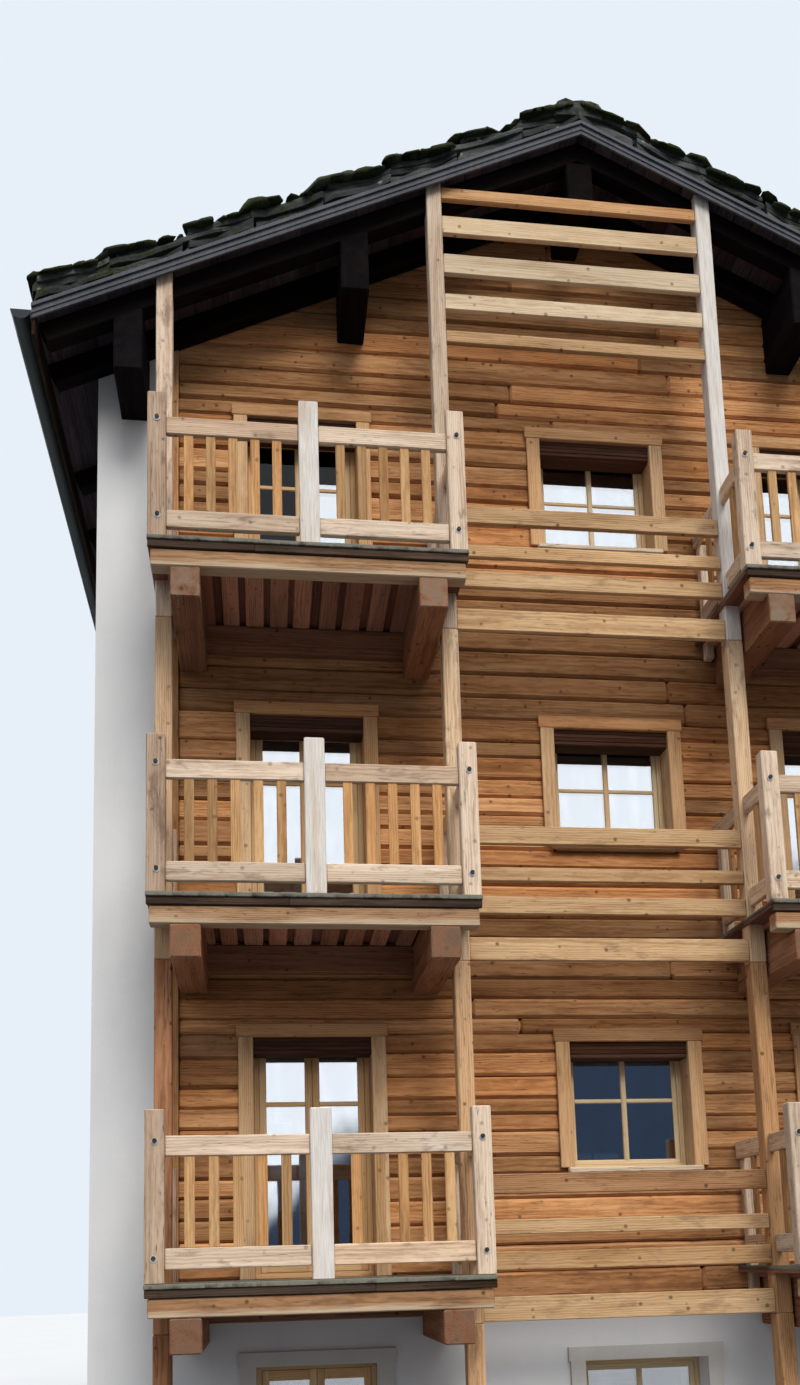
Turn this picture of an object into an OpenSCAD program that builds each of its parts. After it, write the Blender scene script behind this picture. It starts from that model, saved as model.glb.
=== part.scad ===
// Alpine chalet: a gabled house with masonry side walls, a timber front with
// three rows of balconies between tall posts, and a roof of stone slabs.
// Millimetres, +Z up. The front faces -Y, the ridge runs along Y, and the
// origin is the middle of the walls' outline at ground level.

/* [House] */
// Width over the outer faces of the two side walls
body_w = 8820; // [8400:10:10600]
// Depth over the outer faces of the front and rear walls
body_d = 9000; // [6000:10:14000]
// Thickness of the masonry side walls
side_wall_t = 700; // [500:10:800]
// Thickness of the front and rear walls
gable_wall_t = 340; // [300:10:500]
// Height from one upper floor to the next
storey_h = 2900; // [2750:10:3500]
// Height of the first upper floor, and of its balconies, above the ground
first_floor_z = 2840; // [2700:10:3400]
// Thickness of each upper floor
floor_t = 220; // [150:10:300]
// Thickness of the ground slab
slab_t = 120; // [80:10:200]

/* [Roof] */
// Pitch of both slopes in degrees
roof_pitch = 25.4; // [22:0.1:27]
// Height of the boarding at the side walls' outer faces above the top floor
wall_top_rise = 2500; // [2400:10:2900]
// Overhang of the boarding beyond the side walls
eave_overhang = 450; // [300:10:800]
// Overhang of the boarding beyond the front and rear walls
gable_overhang = 700; // [690:10:1000]
// Thickness of the boarding, measured upright
boarding_t = 50; // [25:5:80]
// Height of the rafters, measured upright
rafter_h = 200; // [120:5:220]
// Width of the rafters
rafter_w = 140; // [80:5:180]
// Wanted spacing of the rafters inside the house
rafter_pitch = 900; // [600:10:1200]
// Width of the purlins
purlin_w = 250; // [180:10:320]
// Height of the middle purlins and wall plates below the rafters
purlin_h = 540; // [300:10:580]
// Height of the ridge purlin below the rafters
ridge_purlin_h = 455; // [300:5:460]
// Distance of the middle purlins from the ridge line
middle_purlin_x = 2110; // [1900:10:2500]
// Distance of the wall plates from the side walls' outer faces
wall_plate_inset = 330; // [200:10:360]
// How far the purlins reach beyond the front and rear walls
purlin_reach = 600; // [590:5:650]
// Distance of the verge rafters' outer faces from the walls
verge_rafter_y = 585; // [560:5:585]

/* [Stone covering] */
// Wanted width of one course of slabs, measured level
course_pitch = 600; // [350:10:900]
// Height of a course's lower edge above the boarding
course_high = 290; // [200:5:400]
// Height of a course's upper edge above the boarding
course_low = 185; // [100:5:280]
// How far the slabs reach beyond the boarding at the eaves
slab_overhang = 50; // [0:5:80]
// Width of the row of ridge stones
ridge_stone_w = 520; // [350:10:700]
// Height of the ridge stones above the highest course
ridge_stone_h = 150; // [100:10:300]
// Wanted length of one ridge stone
ridge_stone_l = 780; // [400:10:1200]

/* [Roof edges] */
// Height of the folded strip along the verge
strip_h = 130; // [90:5:180]
// How far the strip reaches below the boarding's underside
strip_drop = 60; // [0:5:100]
// Thickness of the folded strip's upper bead
strip_bead = 34; // [20:1:45]
// Height and depth of the fold along the strip's middle
strip_fold = 26; // [19:1:40]
// Thickness of the folded strip's flat
strip_t = 18; // [8:1:30]
// Thickness of the fascia boards at the eaves
fascia_t = 30; // [20:1:50]
// Radius of the half-round gutters
gutter_r = 80; // [60:1:110]
// Wall thickness of the gutters
gutter_t = 4; // [2:0.5:6]

/* [Post frame] */
// Sideways place of the post frame against the ridge line
frame_shift = -120; // [-160:10:160]
// Distance between the centre lines of the two middle posts
mid_bay_w = 2530; // [2200:10:2600]
// Distance between a middle post and the outer post beside it
side_bay_w = 2385; // [2200:5:2500]
// Width of the tall posts
post_w = 142; // [100:2:180]
// Depth of the tall posts
post_d = 140; // [100:5:180]
// Distance of the tall posts' front faces from the wall
post_y = 655; // [640:5:680]
// Thickness of the slats of the screen between the middle posts
slat_t = 50; // [30:5:50]
// Distance of the slats behind the posts' front faces
slat_inset = 15; // [5:1:20]
// Tops of the four slats of a storey against the floor there
slat_tops = [780, 420, 170, -180]; // [-300:5:900]
// Heights of these slats
slat_heights = [160, 120, 150, 195]; // [80:5:220]
// Tops of the four lower slats in the gable against the top floor
gable_slat_tops = [2480, 2850, 3250, 3640]; // [2400:5:3700]
// Heights of these slats
gable_slat_heights = [120, 160, 200, 180]; // [80:5:220]
// Height of the highest slat, close under the ridge purlin
ridge_slat_h = 120; // [80:5:160]

/* [Balconies] */
// Distance of the railing's front face from the wall
balcony_d = 1150; // [1050:10:1600]
// Thickness of the deck
deck_t = 100; // [60:5:120]
// How far the deck reaches beyond the railing at the front
deck_nose = 22; // [0:1:60]
// Distance of the front beam's ends behind the deck's ends
beam_inset = 25; // [5:5:60]
// Height of the beam under the deck's front edge
beam_h = 143; // [100:1:200]
// Depth of that beam from front to back
beam_d = 130; // [80:5:180]
// Width of the corbel beams that come out of the wall
corbel_w = 232; // [140:2:240]
// Height of the corbel beams
corbel_h = 257; // [160:1:300]
// Gap between a corbel and the tall post beside it
corbel_gap = 20; // [5:5:300]
// Distance of the beams' faces behind the deck's front edge
beam_setback = 30; // [5:1:60]
// Thickness of the ledger on the wall under the deck
ledger_t = 100; // [60:5:140]
// Height of the ledger
ledger_h = 240; // [150:5:300]

/* [Railings] */
// Height of the railing posts above the deck
rail_post_h = 1260; // [1100:10:1400]
// Distance between the centre lines of a balcony's corner posts
rail_span = 2415; // [2300:5:2440]
// Width of the corner posts
rail_post_w = 145; // [90:5:160]
// Depth of the corner and middle posts
rail_post_d = 110; // [80:5:140]
// Width of the middle post
mid_post_w = 162; // [90:2:200]
// Width of the posts against the wall
wall_post_w = 80; // [60:5:100]
// Depth of the posts against the wall
wall_post_d = 90; // [60:5:120]
// How far they stand inside the line of the corner posts
wall_post_inset = 40; // [0:5:45]
// How far they reach down past the deck's top
wall_post_drop = 220; // [120:10:300]
// Thickness of the rails
rail_t = 50; // [30:5:70]
// Distance of the front rails behind the posts' front faces
rail_inset = 32; // [5:1:40]
// Height of the top rail
top_rail_h = 155; // [80:5:180]
// Top of the top rail above the deck
top_rail_z = 1070; // [950:10:1090]
// Height of the bottom rail
bottom_rail_h = 155; // [80:5:180]
// Underside of the bottom rail above the deck
bottom_rail_z = 100; // [40:5:150]
// Width of one upright board of the railing
baluster_w = 75; // [50:1:110]
// Thickness of the upright boards
baluster_t = 28; // [18:1:30]
// Wanted spacing of the upright boards
baluster_pitch = 173; // [130:1:220]

/* [Windows and doors] */
// Clear width of a window opening between its casings
window_w = 1070; // [800:10:1200]
// Height of a window opening above its sill
window_h = 1100; // [700:10:1150]
// Height of the window heads above the floor
window_head_z = 1970; // [1900:10:2050]
// Height of the side windows' heads above the floor
side_head_z = 1850; // [1700:10:1880]
// Height of a balcony door opening
door_h = 2020; // [1950:10:2050]
// Sideways place of the front windows against the middle of the post frame
window_shift = 310; // [0:10:320]
// Clear width of a balcony door opening
door_w = 1000; // [800:10:1100]
// Width of the casing boards beside an opening
casing_w = 125; // [80:5:150]
// Height of the casing board over an opening
casing_head = 115; // [80:5:150]
// Thickness of the casing boards
casing_t = 30; // [15:1:45]
// How far the head board reaches past the boards beside the opening
casing_lap = 15; // [0:1:40]
// Distance of the frames behind the face of a timber wall
reveal = 190; // [60:5:200]
// Depth of the frames from front to back
frame_d = 70; // [50:2:90]
// Width of the window frames at the sides
frame_w = 85; // [60:1:110]
// Height of the window frames at the head
frame_head = 105; // [60:1:130]
// Height of the window frames at the foot
frame_foot = 80; // [50:1:110]
// Width of the fixed frame round a pair of doors
door_frame_w = 45; // [30:1:70]
// Width of the upright members of a door leaf
stile_w = 62; // [40:1:90]
// Height of a door leaf's top member
leaf_head = 90; // [50:1:120]
// Height of a door leaf's bottom member
leaf_foot = 190; // [100:5:300]
// Thickness of the glass units
glass_t = 24; // [12:1:30]
// Height of the sills
sill_t = 50; // [30:1:100]
// How far the sills stand out from the wall
sill_out = 68; // [46:1:90]
// How far the sills reach past the opening at each side
sill_side = 65; // [0:1:120]
// Distance of the outer rear windows from the ridge line
rear_window_x = 2450; // [2000:10:2600]
// Distance of the side windows from the middle of the side wall
side_window_y = 2250; // [1200:10:2700]

/* [Clearances] */
// Gap between the highest slat and the timbers above it
slat_gap = 5; // [1:1:40]
// Gap of the leaves to their frame and to each other
leaf_gap = 0.3; // [0.2:0.1:0.9]
// Gap between the two slopes' pieces where they meet at the ridge
ridge_joint = 2; // [1:0.5:5]

/* [Hidden] */

upper_storeys = 3;
half_w = body_w / 2;
half_d = body_d / 2;
inner_x = half_w - side_wall_t;
slope = tan(roof_pitch);
top_floor_z = first_floor_z + (upper_storeys - 1) * storey_h;
edge_x = half_w + eave_overhang;
ridge_z = top_floor_z + wall_top_rise + half_w * slope;
timber_base_z = first_floor_z - floor_t;
verge_y = half_d + gable_overhang;
plate_x = half_w - wall_plate_inset;

// Heights over the point x: underside and top of the boarding, underside of
// the rafters
function board_under(x) = ridge_z - abs(x) * slope;
function board_top(x) = board_under(x) + boarding_t;
function rafter_under(x) = board_under(x) - rafter_h;

// Place of each rafter's front face
rafter_inner_d = body_d - 2 * gable_wall_t - rafter_w;
rafter_count = max(2, round(rafter_inner_d / rafter_pitch) - 1);
rafter_step = rafter_inner_d / (rafter_count + 1);
rafter_ys = concat(
    [-half_d - verge_rafter_y, -half_d - rafter_w],
    [for (i = [1 : rafter_count]) -half_d + gable_wall_t + i * rafter_step],
    [half_d, half_d + verge_rafter_y - rafter_w]);

// Post frame
mid_post_x = mid_bay_w / 2;
bay_x = mid_post_x + side_bay_w / 2;
outer_post_x = mid_post_x + side_bay_w;
post_xs = [-outer_post_x, -mid_post_x, mid_post_x, outer_post_x];
deck_half = rail_span / 2 + rail_post_w / 2;
corbel_x = side_bay_w / 2 - post_w / 2 - corbel_gap - corbel_w / 2;
wall_post_x = rail_span / 2 - wall_post_inset;
wall_post_h = top_rail_z - top_rail_h;
beam_y = balcony_d + deck_nose - beam_setback;
floor_zs = [for (i = [0 : upper_storeys - 1]) first_floor_z + i * storey_h];
levels = concat([slab_t], floor_zs);

// Slats in the gable as [top, height]: the highest ends below the ridge purlin
// and the boarding, and the others are made where they end below it
ridge_slat_z = min(rafter_under(0) - ridge_purlin_h,
    board_under(mid_post_x + abs(frame_shift))) - slat_gap;
gable_slats = concat([[ridge_slat_z, ridge_slat_h]],
    [for (i = [0 : len(gable_slat_tops) - 1])
        if (top_floor_z + gable_slat_tops[i] < ridge_slat_z - ridge_slat_h)
            [top_floor_z + gable_slat_tops[i], gable_slat_heights[i]]]);

// Stone courses
slab_edge_x = edge_x + slab_overhang;
course_count = round(slab_edge_x / course_pitch);
course_w = slab_edge_x / course_count;
stone_top_z = board_top(0) + course_low;

// Places on the faces of the house. Inside each, x runs along the wall, y is
// 0 at its outer face and grows inwards
module front_face() {
    translate([0, -half_d, 0]) children();
}

module rear_face() {
    mirror([0, 1, 0]) front_face() children();
}

module left_face() {
    translate([-half_w, 0, 0]) rotate([0, 0, -90]) children();
}

module right_face() {
    mirror([1, 0, 0]) left_face() children();
}

// The post frame stands in front of the front face
module post_frame() {
    translate([frame_shift, 0, 0]) front_face() children();
}

module both_slopes() {
    children();
    mirror([1, 0, 0]) children();
}

module each_balcony() {
    for (z = floor_zs, side = [-1, 1])
        post_frame() translate([side * bay_x, 0, z]) children();
}

// A box given by its middle in x, its front face in y and its foot in z
module block(w, d, h) {
    translate([-w / 2, 0, 0]) cube([w, d, h]);
}

// An upright outline in x and z, drawn out from one y to another
module upright(points, y0, y1) {
    translate([0, y1, 0]) rotate([90, 0, 0]) linear_extrude(y1 - y0) polygon(points);
}

// Places of the openings, as [x, z] of the middle of the foot
front_window_spots = [for (z = levels)
    [frame_shift + window_shift, z + window_head_z - window_h]];
front_door_spots = [for (z = levels, side = [-1, 1])
    [frame_shift + side * bay_x, z]];
rear_spots = [for (z = levels, side = [-1, 0, 1])
    [side * rear_window_x, z + window_head_z - window_h]];
side_spots = [for (z = levels, side = [-1, 1])
    [side * side_window_y, z + side_head_z - window_h]];

module at_spots(spots) {
    for (s = spots) translate([s[0], 0, s[1]]) children();
}

function upper_only(spots) = [for (s = spots) if (s[1] > first_floor_z - 1) s];
function ground_only(spots) = [for (s = spots) if (s[1] < first_floor_z - 1) s];

// The hole for a window, with room for the sill under it, and for a door
module window_hole(wall_t) {
    translate([0, -1, -sill_t]) block(window_w, wall_t + 2, window_h + sill_t);
}

module door_hole(wall_t) {
    translate([0, -1, 0]) block(door_w, wall_t + 2, door_h);
}

// Boards round an opening, on the face of the wall
module casing(w, h) {
    translate([0, -casing_t, 0]) difference() {
        union() {
            block(w + 2 * casing_w, casing_t, h + 1);
            translate([0, 0, h]) block(w + 2 * (casing_w + casing_lap), casing_t, casing_head);
        }
        translate([0, -1, -1]) block(w, casing_t + 2, h + 1);
    }
}

// A sill that fills the foot of the hole and stands out under the casing
module sill(wall_t) {
    translate([0, 0, -sill_t]) {
        block(window_w, wall_t, sill_t);
        translate([0, -sill_out, 0]) block(window_w + 2 * sill_side, sill_out, sill_t);
    }
}

module window_frame() {
    translate([0, reveal, 0]) difference() {
        block(window_w, frame_d, window_h);
        translate([0, -1, frame_foot])
            block(window_w - 2 * frame_w, frame_d + 2, window_h - frame_head - frame_foot);
    }
}

module window_glass() {
    translate([0, reveal + (frame_d - glass_t) / 2, frame_foot])
        block(window_w - 2 * frame_w, glass_t, window_h - frame_head - frame_foot);
}

module door_frame() {
    translate([0, reveal, 0]) difference() {
        block(door_w, frame_d, door_h);
        translate([0, -1, door_frame_w])
            block(door_w - 2 * door_frame_w, frame_d + 2, door_h - 2 * door_frame_w);
    }
}

leaf_w = (door_w - 2 * door_frame_w - 3 * leaf_gap) / 2;
leaf_h = door_h - 2 * door_frame_w - 2 * leaf_gap;
leaf_glass_w = leaf_w - 2 * stile_w;
leaf_glass_h = leaf_h - leaf_head - leaf_foot;

module each_leaf() {
    for (side = [-1, 1])
        translate([side * (leaf_w + leaf_gap) / 2, reveal, door_frame_w + leaf_gap]) children();
}

module door_leaf() {
    difference() {
        block(leaf_w, frame_d, leaf_h);
        translate([0, -1, leaf_foot]) block(leaf_glass_w, frame_d + 2, leaf_glass_h);
    }
}

module leaf_glass() {
    translate([0, (frame_d - glass_t) / 2, leaf_foot]) block(leaf_glass_w, glass_t, leaf_glass_h);
}

// Walls and floors
module ground_slab() {
    color("lightgray") translate([0, -half_d + gable_wall_t, 0])
        block(2 * inner_x, body_d - 2 * gable_wall_t, slab_t);
}

module side_wall() {
    difference() {
        upright([[-half_w, 0], [-inner_x, 0], [-inner_x, board_under(inner_x)],
            [-half_w, board_under(half_w)]], -half_d, half_d);
        wall_plate();
        for (y = rafter_ys) rafter(y);
        left_face() at_spots(side_spots) window_hole(side_wall_t);
    }
}

module left_wall() {
    color("whitesmoke") side_wall();
}

module right_wall() {
    color("whitesmoke") mirror([1, 0, 0]) side_wall();
}

module ground_wall() {
    block(2 * inner_x, gable_wall_t, timber_base_z);
}

module front_ground_wall() {
    color("gainsboro") front_face() difference() {
        ground_wall();
        at_spots(ground_only(front_window_spots)) window_hole(gable_wall_t);
        at_spots(ground_only(front_door_spots)) door_hole(gable_wall_t);
    }
}

module rear_ground_wall() {
    color("gainsboro") rear_face() difference() {
        ground_wall();
        at_spots(ground_only(rear_spots)) window_hole(gable_wall_t);
    }
}

module timber_wall() {
    difference() {
        upright([[-inner_x, timber_base_z], [inner_x, timber_base_z],
            [inner_x, board_under(inner_x)], [0, ridge_z],
            [-inner_x, board_under(inner_x)]], 0, gable_wall_t);
        translate([0, half_d, 0]) {
            ridge_beam();
            both_slopes() middle_purlin();
        }
    }
}

module front_timber_wall() {
    color("peru") front_face() difference() {
        timber_wall();
        at_spots(upper_only(front_window_spots)) window_hole(gable_wall_t);
        at_spots(upper_only(front_door_spots)) door_hole(gable_wall_t);
    }
}

module rear_timber_wall() {
    color("peru") rear_face() difference() {
        timber_wall();
        at_spots(upper_only(rear_spots)) window_hole(gable_wall_t);
    }
}

module upper_floor(z) {
    translate([0, -half_d + gable_wall_t, z - floor_t])
        block(2 * inner_x, body_d - 2 * gable_wall_t, floor_t);
}

module first_floor() {
    color("burlywood") upper_floor(floor_zs[0]);
}

module second_floor() {
    color("burlywood") upper_floor(floor_zs[1]);
}

module third_floor() {
    color("burlywood") upper_floor(floor_zs[2]);
}

// Roof timbers
module ridge_beam() {
    x = purlin_w / 2;
    foot = rafter_under(0) - ridge_purlin_h;
    upright([[-x, foot], [x, foot], [x, rafter_under(x)], [0, rafter_under(0)],
        [-x, rafter_under(x)]], -half_d - purlin_reach, half_d + purlin_reach);
}

// A purlin on the left slope, its top bevelled to the rafters
module purlin(at_x) {
    x0 = -at_x - purlin_w / 2;
    x1 = -at_x + purlin_w / 2;
    foot = rafter_under(at_x) - purlin_h;
    upright([[x0, foot], [x1, foot], [x1, rafter_under(x1)], [x0, rafter_under(x0)]],
        -half_d - purlin_reach, half_d + purlin_reach);
}

module middle_purlin() {
    purlin(middle_purlin_x);
}

module wall_plate() {
    purlin(plate_x);
}

module ridge_purlin() {
    color("#3a2c22") ridge_beam();
}

module middle_purlins() {
    color("#3a2c22") both_slopes() middle_purlin();
}

module wall_plates() {
    color("#3a2c22") both_slopes() wall_plate();
}

// A rafter on the left slope, from the ridge to the fascia
module rafter(y) {
    x0 = -edge_x + fascia_t;
    x1 = -ridge_joint / 2;
    upright([[x0, rafter_under(x0)], [x1, rafter_under(x1)], [x1, board_under(x1)],
        [x0, board_under(x0)]], y, y + rafter_w);
}

module rafters() {
    color("#33271f") both_slopes() for (y = rafter_ys) rafter(y);
}

module boarding() {
    upright([[-edge_x, board_under(edge_x)], [0, board_under(0)], [0, board_top(0)],
        [-edge_x, board_top(edge_x)]], -verge_y, verge_y);
}

module left_boarding() {
    color("#2b211b") boarding();
}

module right_boarding() {
    color("#2b211b") mirror([1, 0, 0]) boarding();
}

// Courses of slabs: each lies flatter than the roof, so its lower edge stands
// up over the course below it
module stone_courses() {
    teeth = [for (i = [0 : course_count - 1])
        let (x0 = -slab_edge_x + i * course_w, x1 = x0 + course_w)
        each [[x0, board_top(x0) + course_high], [x1, board_top(x1) + course_low]]];
    upright(concat([[0, board_top(0)], [-slab_edge_x, board_top(slab_edge_x)]], teeth),
        -verge_y, verge_y);
}

module left_stone_courses() {
    color("#4d524a") stone_courses();
}

module right_stone_courses() {
    color("#4d524a") mirror([1, 0, 0]) stone_courses();
}

// Height of the stones on the ridge's sides, where the last course falls away
function last_course_z(x) = stone_top_z + x * ((course_high - course_low) / course_w - slope);

module ridge_stones() {
    count = round(2 * verge_y / ridge_stone_l);
    length = 2 * verge_y / count;
    x = ridge_stone_w / 2;
    top = stone_top_z + ridge_stone_h;
    color("#5b6056") for (i = [0 : count - 1])
        upright([[-x, last_course_z(x)], [0, stone_top_z], [x, last_course_z(x)],
            [x * 0.86, top - ridge_stone_h * 0.42], [x * 0.36, top], [-x * 0.36, top],
            [-x * 0.86, top - ridge_stone_h * 0.42]],
            -verge_y + i * length + leaf_gap, -verge_y + (i + 1) * length - leaf_gap);
}

// Roof edges
// A band of the folded strip on the left slope, from one height over the
// boarding's underside to another
module strip_band(low, high, t) {
    x1 = -ridge_joint / 2;
    upright([[-edge_x, board_under(edge_x) + low], [x1, board_under(x1) + low],
        [x1, board_under(x1) + high], [-edge_x, board_under(edge_x) + high]],
        -verge_y - t, -verge_y);
}

module verge_strip() {
    strip_band(-strip_drop, strip_h - strip_drop, strip_t);
    strip_band(strip_h - strip_drop - strip_bead, strip_h - strip_drop, strip_bead);
    strip_band(strip_h / 2 - strip_drop - strip_fold, strip_h / 2 - strip_drop, strip_fold);
}

module verge_strips() {
    color("slategray") both_slopes() {
        verge_strip();
        mirror([0, 1, 0]) verge_strip();
    }
}

module eave_fascias() {
    x1 = -edge_x + fascia_t;
    color("#4a3a2d") both_slopes()
        upright([[-edge_x, board_under(edge_x) - rafter_h], [x1, board_under(edge_x) - rafter_h],
            [x1, board_under(x1)], [-edge_x, board_under(edge_x)]], -verge_y, verge_y);
}

// Half-round gutter with a flat back flange on the fascia and closed ends
module gutter() {
    z = board_under(edge_x);
    length = 2 * (verge_y + strip_bead);
    translate([-edge_x - gutter_r - gutter_t, length / 2, z]) rotate([90, 0, 0]) {
        difference() {
            cylinder(r = gutter_r + gutter_t, h = length, $fn = 48);
            translate([0, 0, gutter_t]) cylinder(r = gutter_r, h = length - 2 * gutter_t, $fn = 48);
            translate([-gutter_r * 2, 0, -1]) cube([gutter_r * 4, gutter_r * 2, length + 2]);
        }
        translate([gutter_r, -gutter_r, 0]) cube([gutter_t, gutter_r, length]);
    }
}

module gutters() {
    color("#3d4438") both_slopes() gutter();
}

// What is cut away over a line below the boarding, from y back to the wall
module post_cut(drop, y) {
    top = ridge_z + storey_h;
    upright([[-edge_x, board_under(edge_x) - drop], [0, ridge_z - drop], [0, top],
        [-edge_x, top]], y, -half_d);
}

// Tall posts, lapped over the verge rafter and cut to the boarding
module tall_posts() {
    color("tan") difference() {
        post_frame() for (x = post_xs)
            translate([x, -post_y, 0]) block(post_w, post_d, ridge_z);
        both_slopes() {
            post_cut(rafter_h, -half_d - verge_rafter_y);
            post_cut(0, -verge_y);
        }
    }
}

module slat(top, h) {
    translate([0, -post_y + slat_inset, top - h]) block(mid_bay_w - post_w, slat_t, h);
}

module screen_slats() {
    color("wheat") post_frame() {
        for (z = floor_zs, i = [0 : len(slat_tops) - 1]) slat(z + slat_tops[i], slat_heights[i]);
        for (s = gable_slats) slat(s[0], s[1]);
    }
}

// Balconies
module balcony_decks() {
    color("dimgray") each_balcony() difference() {
        translate([0, -balcony_d - deck_nose, -deck_t])
            block(2 * deck_half, balcony_d + deck_nose, deck_t);
        for (side = [-1, 1]) {
            translate([side * (side_bay_w / 2 + post_w / 2), -post_y, -deck_t - 1])
                block(2 * post_w, post_d, deck_t + 2);
            translate([side * wall_post_x, -wall_post_d, -deck_t - 1])
                block(wall_post_w, wall_post_d + 1, deck_t + 2);
        }
    }
}

module balcony_beams() {
    color("sienna") each_balcony()
        translate([0, -beam_y, -deck_t - beam_h]) block(2 * (deck_half - beam_inset), beam_d, beam_h);
}

module balcony_corbels() {
    color("#8a7355") each_balcony() for (side = [-1, 1])
        translate([side * corbel_x, -beam_y, -deck_t - beam_h - corbel_h])
            difference() {
                block(corbel_w, beam_y, corbel_h + beam_h);
                translate([0, -1, corbel_h]) block(corbel_w + 2, beam_d + 1, beam_h + 1);
                translate([0, beam_y - ledger_t, corbel_h + beam_h - ledger_h])
                    block(corbel_w + 2, ledger_t + 1, ledger_h + 1);
            }
}

module balcony_ledgers() {
    color("#5c4431") each_balcony()
        translate([0, -ledger_t, -deck_t - ledger_h])
            block(2 * corbel_x + corbel_w, ledger_t, ledger_h);
}

// Railings
module railing_posts() {
    color("#cbb999") each_balcony() {
        for (side = [-1, 1]) {
            translate([side * rail_span / 2, -balcony_d, 0])
                block(rail_post_w, rail_post_d, rail_post_h);
            translate([side * wall_post_x, -wall_post_d, -wall_post_drop])
                block(wall_post_w, wall_post_d, wall_post_drop + wall_post_h);
        }
        translate([0, -balcony_d, 0]) block(mid_post_w, rail_post_d, rail_post_h);
    }
}

// Two rails with upright boards between them, along x from 0 to length. The
// top rail may reach further
module railing_panel(length, reach = 0) {
    count = max(1, round(length / baluster_pitch) - 1);
    step = length / (count + 1);
    foot = bottom_rail_z + bottom_rail_h;
    translate([0, 0, bottom_rail_z]) cube([length, rail_t, bottom_rail_h]);
    translate([0, 0, top_rail_z - top_rail_h]) cube([length + reach, rail_t, top_rail_h]);
    for (i = [1 : count])
        translate([i * step, (rail_t - baluster_t) / 2, foot])
            block(baluster_w, baluster_t, top_rail_z - top_rail_h - foot);
}

module front_railing_panels() {
    color("#bfa67f") each_balcony() for (side = [-1, 1])
        mirror([side < 0 ? 1 : 0, 0, 0])
            translate([mid_post_w / 2, -balcony_d + rail_inset, 0])
                railing_panel(rail_span / 2 - rail_post_w / 2 - mid_post_w / 2);
}

module side_railing_panels() {
    front_length = balcony_d - rail_post_d - post_y;
    back_length = post_y - post_d - wall_post_d;
    color("#bfa67f") each_balcony() for (side = [-1, 1])
        translate([side * rail_span / 2 + rail_t / 2, 0, 0]) {
            translate([0, -balcony_d + rail_post_d, 0])
                rotate([0, 0, 90]) railing_panel(front_length);
            translate([0, -post_y + post_d, 0])
                rotate([0, 0, 90]) railing_panel(back_length, wall_post_d);
        }
}

// Windows and doors
module front_casings() {
    color("#c68e52") front_face() {
        at_spots(upper_only(front_window_spots)) casing(window_w, window_h);
        at_spots(upper_only(front_door_spots)) casing(door_w, door_h);
    }
}

module ground_casings() {
    color("white") {
        front_face() {
            at_spots(ground_only(front_window_spots)) casing(window_w, window_h);
            at_spots(ground_only(front_door_spots)) casing(door_w, door_h);
        }
        rear_face() at_spots(ground_only(rear_spots)) casing(window_w, window_h);
    }
}

module front_window_frames() {
    color("#cfa76c") front_face() at_spots(front_window_spots) window_frame();
}

module front_sills() {
    color("#c9b48c") front_face() at_spots(front_window_spots) sill(gable_wall_t);
}

module balcony_door_frames() {
    color("#c39a60") front_face() at_spots(front_door_spots) door_frame();
}

module balcony_door_leaves() {
    color("#cfa76c") front_face() at_spots(front_door_spots) each_leaf() door_leaf();
}

module front_glass() {
    color("lightsteelblue") front_face() {
        at_spots(front_window_spots) window_glass();
        at_spots(front_door_spots) each_leaf() leaf_glass();
    }
}

module rear_casings() {
    color("#c68e52") rear_face() at_spots(upper_only(rear_spots)) casing(window_w, window_h);
}

module rear_window_frames() {
    color("#cfa76c") rear_face() at_spots(rear_spots) window_frame();
}

module rear_sills() {
    color("#c9b48c") rear_face() at_spots(rear_spots) sill(gable_wall_t);
}

module rear_glass() {
    color("lightsteelblue") rear_face() at_spots(rear_spots) window_glass();
}

module both_sides() {
    left_face() children();
    right_face() children();
}

module side_window_frames() {
    color("#cfa76c") both_sides() at_spots(side_spots) window_frame();
}

module side_sills() {
    color("#c9b48c") both_sides() at_spots(side_spots) sill(side_wall_t);
}

module side_glass() {
    color("lightsteelblue") both_sides() at_spots(side_spots) window_glass();
}

ground_slab();
left_wall();
right_wall();
front_ground_wall();
rear_ground_wall();
front_timber_wall();
rear_timber_wall();
first_floor();
second_floor();
third_floor();
ridge_purlin();
middle_purlins();
wall_plates();
rafters();
left_boarding();
right_boarding();
left_stone_courses();
right_stone_courses();
ridge_stones();
verge_strips();
eave_fascias();
gutters();
tall_posts();
screen_slats();
balcony_decks();
balcony_beams();
balcony_corbels();
balcony_ledgers();
railing_posts();
front_railing_panels();
side_railing_panels();
front_casings();
ground_casings();
front_window_frames();
front_sills();
balcony_door_frames();
balcony_door_leaves();
front_glass();
rear_casings();
rear_window_frames();
rear_sills();
rear_glass();
side_window_frames();
side_sills();
side_glass();
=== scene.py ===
import math
import random

import bpy
import numpy as np
from mathutils import Matrix, Vector


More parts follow.
